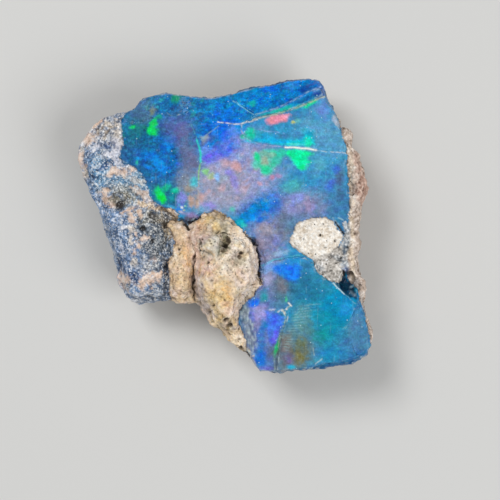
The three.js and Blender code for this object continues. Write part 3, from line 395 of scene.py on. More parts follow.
# Hollows of the rock and potch, cut in and painted dark as shade: (x, y, length, width, turn, darkness).
HOLLOWS = [
    (0.22, -1.05, 0.4, 0.6, 10, 0.95), (0.08, -1.45, 0.45, 0.5, 20, 0.7), (-0.1, -1.75, 0.3, 0.3, 0, 0.8),
    (1.15, -1.95, 0.4, 0.24, 0, 0.85), (1.05, -2.2, 0.3, 0.4, 20, 0.6), (1.25, -3.3, 0.1, 0.26, 20, 0.8),
    (2, -4.15, 0.4, 0.1, 20, 0.6), (-0.75, -5.65, 0.2, 0.2, 0, 0.6), (0.1, -6.6, 0.6, 0.24, 25, 0.9),
    (0.35, -6.95, 0.5, 0.4, 20, 0.75), (0.3, -7.6, 0.35, 0.12, -35, 0.6), (0.1, -0.6, 1, 0.1, -8, 0.75),
    (-0.5, -0.45, 0.5, 0.09, 20, 0.6), (-1.1, -2.6, 0.3, 0.16, 0, 0.6), (-0.9, -1.3, 0.12, 0.12, 0, 0.8),
    (-0.65, -1.15, 0.1, 0.09, 0, 0.8), (-1, -1.15, 0.1, 0.08, 0, 0.7), (-0.35, -1, 0.08, 0.1, 0, 0.7),
    (-1.62, -1.3, 0.12, 0.7, 8, 0.85), (-1.5, -1.85, 0.12, 0.3, 40, 0.7), (-3.15, -1.65, 0.14, 0.28, 40, 0.9),
    (-3.1, -2, 0.12, 0.3, -30, 0.7), (-3.25, -3, 0.1, 0.16, 0, 0.6), (-3.05, -3, 0.09, 0.14, 0, 0.7),
    (-2.7, -3.9, 0.12, 0.12, 0, 0.6), (-2.15, -2.3, 0.2, 0.6, 0, 0.8), (-7.3, 1.4, 0.7, 0.7, 30, 0.85),
    (-5.7, -0.2, 0.5, 0.36, 0, 0.85), (-4.95, 0.7, 1, 0.6, -10, 0.7), (-5, -1.1, 0.35, 0.35, 0, 0.6),
    (6.65, -0.7, 0.16, 0.18, 0, 0.5), (7.7, -1.1, 0.16, 0.25, 0, 0.6), (6.9, 0.1, 0.1, 0.2, 0, 0.4),
    (7, -1.6, 0.3, 0.12, 20, 0.4), (5.5, -1, 0.12, 0.2, 30, 0.4), (7.9, -0.3, 0.2, 0.12, 40, 0.5),
    (1.15, -8.6, 0.4, 0.3, 0, 0.9), (1.45, -9, 0.5, 0.3, -30, 0.85), (7.8, -2.6, 0.3, 0.2, 0, 0.7),
    (8.35, -3.3, 0.3, 0.6, 20, 0.85), (7.1, -2.7, 0.2, 0.14, 0, 0.5), (7.4, -3.2, 0.3, 0.2, 30, 0.5),
]
RIM_CLOUDS = [
    (8.8, 3.4, 0.4, 3.6, 2, "cream"), (8.85, -0.4, 0.35, 3.4, 0, "cream"), (8.9, -2.9, 0.35, 1.6, 5, "cream"),
    (9.9, 2.5, 1.4, 2.4, 0, "bulge", 0.9), (9.3, 4.4, 0.5, 1.4, 20, "bulge", 0.6),
    (9.25, -4.2, 0.4, 1.2, 10, "char", 0.6), (9.6, -5.6, 0.4, 1.4, 15, "char", 0.5),
    (8.45, 0, 0.5, 1.3, 0, "rubble", 0.9), (8.5, -1.4, 0.4, 1.3, 0, "rubble"),
    (8.3, -2.6, 0.5, 0.7, 0, "rubble"), (6.6, -3, 0.7, 0.5, -40, "rubble", 0.5),
    (8.45, -3.3, 0.3, 0.8, 20, "navy", 0.9), (7.9, -2.3, 0.6, 0.3, -10, "char"),
]
# The near-black painted shade inside the pits and open cracks.
GAP_SHADE = "#382e26"

# Cracks and broken edges of the face: depth, colour, width, strength, share missing, points. The ones with a
# depth are cut into the face, and it stays sharp beside them.
LINES = {
    "ridge brow": (0.01, "#a8ccf4", 0.06, 0.85, 0.55, [
        (2.12, 7.69), (3.64, 8.15), (4.99, 8.81), (5.88, 9.34), (6.76, 9.69)]),
    # The ridge foot is a pale line, painted paler also to lift the shade that the raised strip casts on the
    # field below it.
    "ridge foot": (0.01, "#dce4cc", 0.06, 0.9, 0.5, [
        (1.23, 7.1), (2.28, 7.47), (3.64, 7.74), (4.73, 8.1), (5.43, 8.36), (6.76, 8.92), (7.15, 8.98)]),
    "fork": (0.03, "#88d8e0", 0.04, 0.75, 0.35, [(0.6, 8.71), (1.3, 8.25), (2.07, 7.73), (2.6, 7.8)]),
    "white crack": (0, "#e8ecec", 0.05, 0.95, 0.55, [
        (-0.45, 7.2), (0.1, 7.14), (0.7, 7.05), (1.23, 7.1), (2.3, 7.38)]),
    "crack spur": (0, "#d0d0d8", 0.05, 0.7, 0.7, [(1.2, 7.05), (1.15, 6.7), (1.3, 6.45)]),
    "upright head": (0.04, "#58a8b8", 0.04, 0.6, 0.5, [(-2.36, 7.17), (-2.13, 6.61), (-1.9, 5.94)]),
    "upright glow": (0.02, "#28dccc", 0.07, 0.95, 0.3, [(-1.9, 5.94), (-1.68, 5.14), (-1.66, 4.4)]),
    "upright green": (0.02, "#8cd078", 0.05, 0.8, 0.4, [(-1.66, 4.4), (-1.78, 3.74), (-1.8, 3.2)]),
    "upright foot": (0, "#c8b8a0", 0.04, 0.6, 0.6, [(-1.8, 3.2), (-1.8, 2.62), (-1.82, 1.4)]),
    "faint": (0, "#88b8c8", 0.04, 0.7, 0.5, [(-1.64, 5.95), (-1.1, 6.45), (-0.42, 6.89)]),
    "level west": (0.04, "#b0b0e0", 0.04, 0.6, 0.6, [
        (1.3, 6.22), (1.7, 5.95), (2.28, 5.7), (3.3, 5.55), (4.3, 5.45)]),
    "level white": (0.06, "#fbfbf0", 0.07, 1, 0.35, [(4.25, 5.46), (5.2, 5.4), (5.9, 5.34), (6.4, 5.25)]),
    "level east": (0.04, "#cfdde4", 0.04, 0.8, 0.6, [(6.2, 5.28), (7, 5.15), (7.8, 5.1), (8.44, 5)]),
    "upper scratch": (0, "#98bcf4", 0.04, 0.7, 0.6, [(2.39, 6.71), (2.9, 6.55), (3.5, 6.52), (4.17, 6.4)]),
    "plate brow": (0.02, "#58c0dc", 0.06, 0.8, 0.45, [
        (2.32, -2.98), (3.42, -2.42), (4.94, -2.14), (5.71, -2.07)]),
    "plate east": (0.02, "#78b8d0", 0.04, 0.7, 0.6, [
        (5.71, -2.07), (6.6, -3), (7.46, -3.96), (8.37, -4.8), (9.49, -5.78)]),
    "plate glint": (0, "#d4e8ec", 0.04, 0.9, 0.5, [(7.5, -3.95), (7.95, -4.4), (8.35, -4.8)]),
    "step": (0.05, "#a8bcb0", 0.05, 0.85, 0.65, [
        (4.62, -5.61), (4.1, -5.95), (4.31, -6.45), (4.14, -7.02), (3.96, -7.58), (3.82, -8.14),
        (3.68, -8.93), (3.49, -9.28), (3.54, -10.12)]),
    "step chip": (0, "#f0eee2", 0.05, 1, 0.7, [(3.55, -6.15), (3.85, -5.98), (4.1, -5.85)]),
    # The second step chip below is a painted highlight on the step's edge.
    "step glint": (0, "#fcfcf4", 0.05, 1, 0.3, [(4.48, -5.42), (4.66, -5.6)]),
    "step chip 3": (0, "#d8d8cc", 0.05, 0.7, 0.75, [(4.1, -6), (4.45, -6.35), (4.35, -6.7)]),
    "step chip 4": (0, "#e8e8dc", 0.05, 0.7, 0.75, [(4.35, -5.75), (4.15, -6.1), (4.2, -6.4)]),
    "bevel brow": (0.02, "#5b94c4", 0.04, 0.4, 0.6, [
        (5.95, -10.05), (6.97, -9.7), (8.23, -9.47), (9.42, -9.07), (10.01, -8.51)]),
    "facet brow": (0.03, "#6fa8bc", 0.04, 0.35, 0.7, [
        (9.25, -5.78), (8.86, -6.48), (8.79, -6.9), (8.3, -7.18), (8.65, -7.67)]),
    "oval north": (0, "#b0d4dc", 0.05, 0.6, 0.6, [(8.3, 0.35), (8, 0.5), (7.4, 0.55)]),
    "bottom scratch": (0, "#b8d0c8", 0.04, 0.6, 0.6, [(6.2, -8.2), (6.2, -8.7), (6.25, -9.05)]),
    "bottom scratch 2": (0, "#c8dce4", 0.04, 0.7, 0.5, [(6.8, -9.3), (6.35, -9.7)]),
}
# Places where a trace of a rounded cut is smoothed away: x, y, length, width, turn.
SMOOTHED = [(1.1, 0.15, 1.4, 1.2, 0), (8.75, -4.35, 1.2, 1.3, 0), (-1.8, 2.3, 1.2, 3, 0)]
# Open cracks beside the lumps, painted black inside as shade: points, width.
CREVICES = [
    ([(1.3, -0.4), (1.69, -0.79), (2.22, -1.45), (2.4, -2.2), (2.5, -2.6), (2.37, -3.2), (2.42, -3.6),
      (2.62, -4.1)], 0.06),
    ([(-2.05, -1.9), (-2.14, -2.6), (-2.2, -3.8), (-2.16, -5.3)], 0.035),
    ([(-2.76, 0.1), (-2.6, -0.1), (-2.52, -0.3)], 0.10),
    ([(-2.5, 0.1), (-2.2, 0.3), (-1.75, 0.62)], 0.05),
    ([(1.2, -8.7), (1.5, -8.9), (1.7, -9.2)], 0.08),
    ([(-1.72, -0.95), (-1.8, -1.35), (-1.66, -1.8)], 0.04),
    ([(7.75, 0.2), (8.1, -0.25), (8.3, -0.6)], 0.06),
]
# Gaps that rubble has part filled: x, y, length, width, turn.
FILLED = [
    (2.4, -2.4, 1.3, 4.8, -8), (1.7, -0.6, 1.4, 1.2, 0), (-2.16, -3.9, 1.4, 5.6, 0),
    (-3.9, -3.2, 1.2, 4.2, 0), (8.65, -3.8, 1, 1.2, 0), (-7.38, 1.35, 1.5, 1.5, 0),
    (-5.7, -0.2, 1.3, 1.2, 0), (-5.05, 0.65, 1.7, 1.6, 0), (-5, -1.2, 1.2, 1.2, 0),
    (-8.2, 6.1, 1.4, 1.3, 0), (0.12, -1.25, 1.4, 1.8, 0), (1.1, -2.1, 1.2, 1.2, 0),
]

# ---------------------------------------------------------------- helpers


def linear(colour):
    """An sRGB hex colour as linear red, green and blue."""
    shares = [int(colour[i : i + 2], 16) / 255 for i in (1, 3, 5)]
    return np.array([c / 12.92 if c <= 0.04045 else ((c + 0.055) / 1.055) ** 2.4 for c in shares])


DICE = np.random.default_rng(7)
ORDER = np.tile(DICE.permutation(256), 3)
SLOPES = DICE.normal(size=(256, 3))
SLOPES /= np.linalg.norm(SLOPES, axis=1, keepdims=True)
JITTER = DICE.random((256, 3))


def corner_number(cell, step):
    """A repeatable number from 0 to 255 for a neighbour of each grid cell."""
    x, y, z = ((cell[:, k] + step[k]) & 255 for k in range(3))
    return ORDER[ORDER[ORDER[x] + y] + z]


def noise(at, size, seed=0):
    """Smooth noise, about -1 to 1, with features about `size` millimetres across."""
    place = at / size + seed * 19.37
    cell = np.floor(place).astype(np.int64)
    part = place - cell
    ease = part**3 * (part * (part * 6 - 15) + 10)
    total = np.zeros(len(at))
    for step in np.ndindex(2, 2, 2):
        share = np.ones(len(at))
        slope = SLOPES[corner_number(cell, step)]
        lean = np.zeros(len(at))
        for k in range(3):
            share *= ease[:, k] if step[k] else 1 - ease[:, k]
            lean += slope[:, k] * (part[:, k] - step[k])
        total += share * lean
    return 1.7 * total


def layered(at, size, seed=0, octaves=3, fall=0.5):
    """Noise with finer noise laid over it."""
    return sum(fall**k * noise(at, size / 2.07**k, seed + k) for k in range(octaves))


def stirred(at, size, amount, seed):
    """The places moved about by noise, so that what is laid out on them wanders."""
    return at + amount * np.stack([noise(at, size, seed + k) for k in range(3)], 1)


def grains(at, size, seed=0):
    """Distances to the nearest and the next grain's middle, in grain sizes, and the nearest's number."""
    place = at / size + seed * 11.3
    cell = np.floor(place).astype(np.int64)
    near = np.full(len(at), 9.0)
    following = np.full(len(at), 9.0)
    owner = np.zeros(len(at), np.int64)
    for step in np.ndindex(3, 3, 3):
        step = np.array(step) - 1
        number = corner_number(cell, step)
        reach = np.linalg.norm(cell + step + JITTER[number] - place, axis=1)
        closer = reach < near
        following = np.where(closer, near, np.minimum(following, reach))
        owner = np.where(closer, number, owner)
        near = np.minimum(near, reach)
    return near, following, owner


def ease_between(low, high, value):
    """0 below `low`, 1 above `high` and smooth between."""
    share = np.clip((value - low) / (high - low), 0, 1)
    return share * share * (3 - 2 * share)


def from_piece(at, start, end):
    """Distance from a straight piece of a plan line."""
    x, y = at[:, 0] - start[0], at[:, 1] - start[1]
    ux, uy = end[0] - start[0], end[1] - start[1]
    along = np.clip((x * ux + y * uy) / (ux * ux + uy * uy), 0, 1)
    return np.hypot(x - along * ux, y - along * uy)


def beside(at, line):
    """Distance from a plan line."""
    return np.minimum.reduce([from_piece(at, *ends) for ends in zip(line, line[1:])])


def inside(at, outline):
    """How far each place is inside a plan outline, negative outside it."""
    x, y = at[:, 0], at[:, 1]
    closed = outline + outline[:1]
    within = np.zeros(len(at), bool)
    for (ax, ay), (bx, by) in zip(closed, closed[1:]):
        if by != ay:
            within ^= ((ay > y) != (by > y)) & (x < (bx - ax) * (y - ay) / (by - ay) + ax)
    reach = beside(at, closed)
    return np.where(within, reach, -reach)


def line_distance(at, lines):
    """Distance from the nearest of several plan lines."""
    return np.minimum.reduce([beside(at, points) for points in lines])


def spot(at, x, y, length, width, turn):
    """1 in the middle of an oval spot and 0 on its rim, falling below outside it."""
    c, s = math.cos(math.radians(turn)), math.sin(math.radians(turn))
    u = ((at[:, 0] - x) * c + (at[:, 1] - y) * s) / (length / 2)
    v = ((at[:, 1] - y) * c - (at[:, 0] - x) * s) / (width / 2)
    return 1 - np.hypot(u, v)


def covered(at, ovals):
    """1 over the middle of any of the oval spots, falling to 0 at their rims."""
    return np.maximum.reduce([ease_between(0, 0.5, spot(at, *oval)) for oval in ovals])


def lively(colour, amount):
    """A linear colour with the share of fine grain that the finished surface shows over it."""
    return np.append(colour, amount)


def woven(at, name):
    """A weave's colour over the places: domains that lean from the ground colour to its companions."""
    colours, size, lean, stretch = WEAVES[name]
    amount = 1.0 if lean > 0.75 else 0.6
    tints = np.array([lively(linear(c), amount) for c in colours])
    c, s = math.cos(0.7), math.sin(0.7)
    along, across = at[:, 0] * c + at[:, 1] * s, at[:, 1] * c - at[:, 0] * s
    turned = np.stack([along / stretch, across, at[:, 2] * 0.4], 1)
    field = np.tile(tints[0], (len(at), 1))
    for scale, weight, seed in ((1.0, lean, 1), (0.45, 0.5 * lean, 2)):
        near, following, owner = grains(turned, size * scale, seed)
        share = weight * ease_between(0.0, 0.45, following - near)
        field += share[:, None] * (tints[owner % len(colours)] - field)
    return field


def toned(level, name):
    """A granular stone's colour for a level from 0, its dark joints, to 1, its palest grains."""
    tones = np.array([lively(linear(c), CALM.get(name, 1.0)) for c in TONES[name]])
    place = np.clip(level, 0, 1) * (len(tones) - 1)
    low = np.minimum(place.astype(int), len(tones) - 2)
    return tones[low] + (place - low)[:, None] * (tones[low + 1] - tones[low])


def tint_of(name, at, level):
    """The colour of a mark over the places: a weave, a stone's tones or one colour."""
    if name in WEAVES:
        return woven(at, name)
    if name in TONES:
        return toned(level, name)
    return np.tile(lively(linear(name), 0.5), (len(at), 1))


def painted(colour, at, marks, usual, soft, ragged, level=None):
    """Lays oval marks with broken rims over a colour field, each at its own or the usual strength."""
    near, following, owner = grains(stirred(at, 0.3, 0.05, 58) * [1, 1, 0.4], 0.24, 5)
    blocks = (owner / 255 - 0.5) * ease_between(0.0, 0.3, following - near)
    jitter = 0.8 * blocks + 0.6 * noise(at, 0.4, 41) + 0.5 * noise(at, 0.18, 42) + 0.3 * noise(at, 0.11, 43)
    for x, y, length, width, turn, name, *strength in marks:
        broken = ragged * jitter * min(1, 1.1 / math.sqrt(length * width))
        reach = spot(at, x, y, length, width, turn) + broken
        rim = 0.35 if name in CALM else soft
        here = np.nonzero(reach > -0.45 - 0.4 * rim)[0]
        share = ease_between(-0.45 - 0.4 * rim, 0.1 + 0.8 * rim, reach[here])
        share *= strength[0] if strength else usual
        share *= np.clip(0.95 + 0.3 * jitter[here], 0, 1)
        tint = tint_of(name, at[here], None if level is None else level[here])
        colour[here] += share[:, None] * (tint - colour[here])
    return colour


def faceted(colour, at, facets):
    """Lays marks with outlines of their own over a colour field."""
    jitter = 0.06 * noise(at, 0.3, 47) + 0.04 * noise(at, 0.13, 48)
    patchy = np.clip(0.92 + 0.35 * noise(at, 0.35, 49) + 0.2 * noise(at, 0.15, 50), 0.4, 1)
    for outline, name, strength, soft in facets:
        reach = inside(at, outline) + jitter
        here = np.nonzero(reach > -1.3 * soft)[0]
        share = strength * patchy[here] * ease_between(-1.3 * soft, 1.3 * soft, reach[here])
        colour[here] += share[:, None] * (tint_of(name, at[here], None) - colour[here])
    return colour


# ---------------------------------------------------------------- the mesh

VOXEL = 0.085
WELD = 0.0002  # corners of the solid that are closer than this are one
TRIANGLES = 197_000


def placed(name, data):
    """A new object in the scene."""
    thing = bpy.data.objects.new(name, data)
    bpy.context.scene.collection.objects.link(thing)
    return thing


def plain_mesh(thing):
    """The evaluated object as a plain mesh of its own."""
    return bpy.data.meshes.new_from_object(thing.evaluated_get(bpy.context.evaluated_depsgraph_get()))


def even_mesh(node):
    """A copy of the solid in millimetres, merged and remeshed evenly."""
    loose = node.data.copy()
    loose.transform(Matrix.Scale(1 / MM, 4))
    joined = bmesh.new()
    joined.from_mesh(loose)
    bmesh.ops.remove_doubles(joined, verts=joined.verts, dist=WELD)
    joined.to_mesh(loose)
    joined.free()
    thing = placed("blank", loose)
    even = thing.modifiers.new("even", "REMESH")
    even.mode = "VOXEL"
    even.voxel_size = VOXEL
    mesh = plain_mesh(thing)
    bpy.data.objects.remove(thing)
    bpy.data.meshes.remove(loose)
    return mesh


def refined(mesh):
    """The mesh in triangles, halved beside the cracks of the face."""
    at = places_of(mesh)
    close = (line_distance(at, [line[-1] for line in LINES.values()]) < 0.13) & (at[:, 2] > FACE_FOOT)
    work = bmesh.new()
    work.from_mesh(mesh)
    bmesh.ops.triangulate(work, faces=work.faces)
    chosen = [edge for edge in work.edges if all(close[v.index] for v in edge.verts)]
    bmesh.ops.subdivide_edges(work, edges=chosen, cuts=1)
    bmesh.ops.triangulate(work, faces=work.faces)
    work.to_mesh(mesh)
    work.free()
    return mesh


def thinned(mesh):
    """The mesh with its low and hidden parts made coarser, to the triangle budget."""
    thing = placed("thinned", mesh)
    group = thing.vertex_groups.new(name="spare")
    low = np.nonzero(places_of(mesh)[:, 2] < FACE_LEVEL)[0]
    group.add(low.tolist(), 1.0, "REPLACE")
    thin = thing.modifiers.new("thin", "DECIMATE")
    thin.vertex_group = "spare"
    thin.ratio = min(1.0, TRIANGLES / len(mesh.polygons))
    made = plain_mesh(thing)
    bpy.data.objects.remove(thing)
    return made


def read(items, name, width, kind=float):
    """A property of a mesh's vertices, edges, loops or faces, one row for each."""
    flat = np.empty(len(items) * width, kind)
    items.foreach_get(name, flat)
    return flat.reshape(-1, width)


def places_of(mesh):
    """The vertices' places."""
    return read(mesh.vertices, "co", 3)


def normals_of(mesh):
    """The vertices' normals."""
    return read(mesh.vertex_normals, "vector", 3)


def edges_of(mesh):
    """Each edge's two ends."""
    return read(mesh.edges, "vertices", 2, np.int64)


def move_to(mesh, places):
    """Sets the vertices' places."""
    mesh.vertices.foreach_set("co", places.ravel())
    mesh.update()


def relaxed(places, edges, amount, passes):
    """Moves each vertex towards the middle of its neighbours by its own amount."""
    ends = np.r_[edges[:, 0], edges[:, 1]]
    others = np.r_[edges[:, 1], edges[:, 0]]
    count = np.maximum(np.bincount(ends, minlength=len(places)), 1)[:, None]
    for _ in range(passes):
        middle = np.stack([np.bincount(ends, places[others, k], len(places)) for k in range(3)], 1) / count
        places = places + amount[:, None] * (middle - places)
    return places


def zones(at):
    """How far each place is inside each kind of material, in millimetres."""
    ragged = stirred(stirred(at, 0.55, 0.10, 31), 0.2, 0.05, 34)
    low = ease_between(4.9, 3.4, at[:, 2])[:, None]
    ragged += low * (stirred(at, 1.6, 0.45, 35) - at)
    z = at[:, 2] + 0.45 * layered(at, 2.2, 37, 2)
    area = {name: inside(ragged, outline) for name, outline in
            (("potch", POTCH), ("bosses", BOSSES), ("rim", RIM), ("oval", OVAL), ("crumbs", CRUMBS))}
    below = np.where(area["potch"] > 0, LEFT_FOOT, POTCH_FOOT) - z
    area["rock"] = np.maximum.reduce([area["bosses"], area["rim"], area["oval"], area["crumbs"], below])
    area["grey"] = np.maximum(area["potch"], LAYER_FOOT - z)
    return area


def crevice_depth(at):
    """1 down the middle of the open cracks beside the lumps, falling to 0 at their lips."""
    wander = stirred(stirred(at, 0.5, 0.06, 76), 0.2, 0.03, 79)
    depth = np.zeros(len(at))
    for points, width in CREVICES:
        depth = np.maximum(depth, ease_between(1.25 * width, 0.55 * width, beside(wander, points)))
    return depth * ease_between(3.6, 4.4, at[:, 2])


def hollow_depth(at):
    """How deep the pits of the rock are and how dark their painted shade is, from 0 to 1."""
    wander = stirred(stirred(at, 0.3, 0.05, 74), 0.14, 0.02, 77)
    depth = np.zeros(len(at))
    for x, y, length, width, turn, dark in HOLLOWS:
        depth = np.maximum(depth, dark * ease_between(-0.05, 0.5, spot(wander, x, y, length, width, turn)))
    return depth * (at[:, 2] > ROCK_LEVEL)


def pocks(at, seed=12):
    """Small round pocks scattered over the rock, from 0 to 1."""
    near, _, owner = grains(stirred(at, 0.3, 0.06, 13), 0.55, seed)
    return ease_between(0.26, 0.10, near) * (owner < 60)


def shaped(mesh):
    """Breaks and roughens the even mesh, zone by zone."""
    at = places_of(mesh)
    edges = edges_of(mesh)
    resting = at[:, 2] < 0.02
    area = zones(at)
    rock = ease_between(-0.05, 0.05, area["rock"])
    potch = ease_between(-0.05, 0.05, area["grey"]) * (1 - rock)
    opal = (1 - rock) * (1 - potch)
    kept = line_distance(at, [points for depth, *_, points in LINES.values() if depth])
    level = ease_between(0.8, 0.93, normals_of(mesh)[:, 2]) * ease_between(0.1, 0.4, kept)
    level = np.maximum(level, covered(at, SMOOTHED) * (at[:, 2] > 4.6))
    at = relaxed(at, edges, 0.5 * opal * level, 160)
    at = relaxed(at, edges, 0.5 * np.clip(rock + potch, 0, 1), 14)
    at = relaxed(at, edges, 0.6 * covered(at, FILLED) * (at[:, 2] > ROCK_LEVEL), 110)
    at = relaxed(at, edges, np.full(len(at), 0.4), 3)
    move_to(mesh, at)
    out = normals_of(mesh)
    side = ease_between(0.85, 0.5, out[:, 2])

    near, _, _ = grains(stirred(at, 1.2, 0.25, 21), 1.5, 4)
    shells = 0.16 * near**2 - 0.09
    chips = 0.11 * noise(at, 0.6, 5) + 0.06 * noise(at, 0.28, 15) + 0.015 * noise(at, 0.15, 19)
    opal_rise = 0.035 * noise(at, 2.4, 1) + 0.02 * noise(at, 1.0, 2) + 0.005 * noise(at, 0.33, 3)
    opal_rise += side * (shells + chips)

    near, _, owner = grains(stirred(at, 0.3, 0.05, 16), 0.24, 6)
    potch_rise = 0.12 * layered(at, 0.9, 7, 3) + 0.07 * (0.5 - near) * (owner / 255)
    potch_rise += 0.03 * noise(at, 0.17, 8)

    near, following, owner = grains(stirred(at, 0.6, 0.16, 14), 0.5, 9)
    seams = ease_between(0.09, 0.0, following - near) * (owner > 150)
    rock_rise = 0.18 * layered(at, 0.95, 10, 2, 0.6) + 0.05 * (0.5 - near) - 0.06 * seams
    rock_rise += 0.05 * noise(at, 0.3, 17) + 0.035 * noise(at, 0.16, 18) - 0.12 * pocks(at)
    rock_rise *= 1 - 0.5 * ease_between(-0.02, 0.05, area["oval"])

    rise = opal * opal_rise + potch * potch_rise + rock * rock_rise
    contact = np.exp(-((area["rock"] / 0.07) ** 2)) + 0.5 * np.exp(-((area["grey"] / 0.06) ** 2))
    rise -= 0.07 * np.clip(contact, 0, 1) * (at[:, 2] > ROCK_LEVEL)
    wander = stirred(at, 0.4, 0.03, 71)
    for depth, *_, points in LINES.values():
        rise -= opal * depth * np.exp(-((beside(wander, points) / 0.06) ** 2))
    rise -= 0.25 * hollow_depth(at) * (1 - opal)
    rise -= 0.28 * crevice_depth(at) * ease_between(0.2, 0.6, out[:, 2])
    at = at + out * rise[:, None]
    at[:, 2] = np.where(resting, 0, np.maximum(at[:, 2], 0))
    move_to(mesh, at)
    return mesh


def laid(colour, share, tint, amount=0.3):
    """One colour laid over a field by a share for each place."""
    return colour + share[:, None] * (lively(linear(tint), amount) - colour)


def hackles():
    """Combed marks beside the step: long ones on its east side, shorter further down, and short ones west."""
    for k in range(18):
        t = k / 17
        yield 4.85 - 0.8 * t**0.6, -5.72 - 3.13 * t, (2.3 - 1.9 * t) * (1 - 0.2 * (k % 2)), 8 - 13 * t
    for k in range(6):
        yield 4.0 - 0.05 * k, -6.55 - 0.26 * k, 0.45, 15 - 3 * k


def cracked(opal, at, wander, top):
    """Draws the cracks and broken edges over the opal, each with parts of it missing."""
    for number, (_, tint, width, strength, gaps, points) in enumerate(LINES.values()):
        broken = ease_between(gaps - 0.45, gaps + 0.05, 0.5 + 0.6 * noise(at, 0.3, 80 + number))
        core = np.exp(-((beside(wander, points) / width) ** 2))
        opal = laid(opal, strength * broken * top * core, tint)
    return opal


def combed(opal, at, wander, top):
    """Draws the hackles over the opal, each fading away from the step."""
    for number, (x, y, length, turn) in enumerate(hackles()):
        c, s = math.cos(math.radians(turn)), math.sin(math.radians(turn))
        reach = spot(wander, x + 0.5 * length * c, y + 0.5 * length * s, length, 0.11, turn)
        faded = 0.5 - 0.3 * ((at[:, 0] - x) / length)
        share = faded * ease_between(-0.1, 0.7, reach + 0.3 * noise(at, 0.5, 120 + number)) * top
        opal = laid(opal, np.clip(share, 0, 1), "#9cccd0")
    return opal


def crazed(opal, at):
    """The streaky grey face beside the tail of the main lump."""
    share = ease_between(-0.1, 0.5, spot(at, 1.65, -7.2, 1.2, 4.8, 10))
    opal = laid(opal, 0.4 * share, "#948e84")
    streaks = noise(stirred(at, 0.4, 0.08, 96) * [1, 0.35, 1], 0.16, 97)
    opal = laid(opal, 0.6 * share * ease_between(0.15, 0.45, streaks), "#c0d4d4")
    return laid(opal, 0.5 * share * ease_between(-0.15, -0.45, streaks), "#24405c")


def opal_paint(at, out, ridge):
    """The opal's colours: clouds, glows, flashes and facets, then cracks, edges and the dark walls."""
    drift = stirred(stirred(at, 1.3, 0.14, 51), 0.4, 0.05, 54)
    opal = np.tile(lively(linear(STEEL), 0.4), (len(at), 1))
    opal = painted(opal, drift, CLOUDS, 0.9, 0.6, 0.45)
    # The deepest blues are made purer, by taking red from them.
    opal[:, 0] -= 0.6 * np.clip(opal[:, 2] - opal[:, 0] - 0.46, 0, None)
    opal[:, 0] = np.clip(opal[:, 0], 0, 1)
    opal = painted(opal, drift, GLOWS, 0.75, 0.75, 0.45)
    opal = painted(opal, drift, FLASHES, 0.92, 0.5, 0.45)
    close = stirred(at, 0.5, 0.04, 57)
    opal = faceted(opal, close, FACETS)
    opal = painted(opal, close, TOUCHES, 0.85, 0.6, 0.35)
    mottle = 0.26 * noise(at, 0.45, 61) + 0.28 * noise(at, 0.2, 62) + 0.22 * noise(at, 0.12, 63)
    opal[:, :3] *= np.clip(1 + opal[:, 3:] * mottle[:, None], 0.4, 1.7)

    wander = stirred(at, 0.4, 0.03, 71)
    top = ease_between(0.3, 0.7, out[:, 2]) * (at[:, 2] > FACE_FOOT)
    opal = combed(cracked(opal, at, wander, top), at, wander, top)
    glint = ease_between(0.01, 0.03, ridge) * ease_between(-0.2, 0.4, noise(at, 0.4, 91))
    opal = crazed(laid(opal, 0.6 * glint, "#b8ccd4"), at)
    edge = line_distance(wander, (TOP_EDGE, LOW_EDGE))
    rim = ease_between(0.2, 0.06, edge) * ease_between(-0.3, 0.25, noise(at, 0.3, 94))
    rim *= ease_between(0.1, 0.4, out[:, 2]) * (at[:, 2] > FACE_LEVEL)
    opal = laid(opal, 0.8 * rim, "#b8b6b4")
    wall = ease_between(0.6, 0.3, out[:, 2]) * ease_between(5.3, 4.7, at[:, 2])
    return opal + 0.85 * wall[:, None] * (woven(at, "glass") - opal)


def stone_level(at, size, spread, seed):
    """How pale each grain of a granular stone is, from 0 to 1."""
    _, _, owner = grains(stirred(at, 0.2, 0.05, 44), size, seed)
    level = 0.5 + 0.7 * spread * (owner / 255 - 0.5) + 0.4 * spread * noise(at, 4.5 * size, 45)
    return level + 0.4 * spread * noise(at, 2.1 * size, 46) + 0.6 * spread * noise(at, 0.9 * size, 47)


def mixed_in(colour, drift, level, patches, size, octaves, low, high):
    """Lays patches of other tones over a granular stone. A patch is its tone, amount and seed."""
    for tone, amount, seed in patches:
        share = amount * ease_between(low, high, layered(drift, size, seed, octaves))
        colour += share[:, None] * (toned(level, tone) - colour)
    return colour


def potch_paint(at, relief, potch):
    """The potch's colours: blue-grey grains with pale skins and dark veins, and granite below the opal."""
    drift = stirred(stirred(at, 1.0, 0.2, 51), 0.35, 0.12, 54)
    # Paler where the grains stand proud and darker in the fine hollows: partly wear and dirt, partly painted
    # light and shade.
    level = stone_level(at, 0.13, 0.66, 7) + 1.2 * np.clip(relief, -0.06, 0.06)
    grey = painted(toned(level, "blue"), drift, POTCH_CLOUDS, 0.9, 0.6, 0.95, level)
    band = ease_between(0.1, -0.2, potch)[:, None]
    grey += 0.75 * band * (toned(level, "granite") - grey)
    vein = ease_between(0.09, 0.0, np.abs(noise(drift, 0.6, 66)))
    vein *= ease_between(-0.1, 0.4, noise(drift, 0.9, 67))
    return laid(grey, 0.6 * vein, "#2c2a2e")


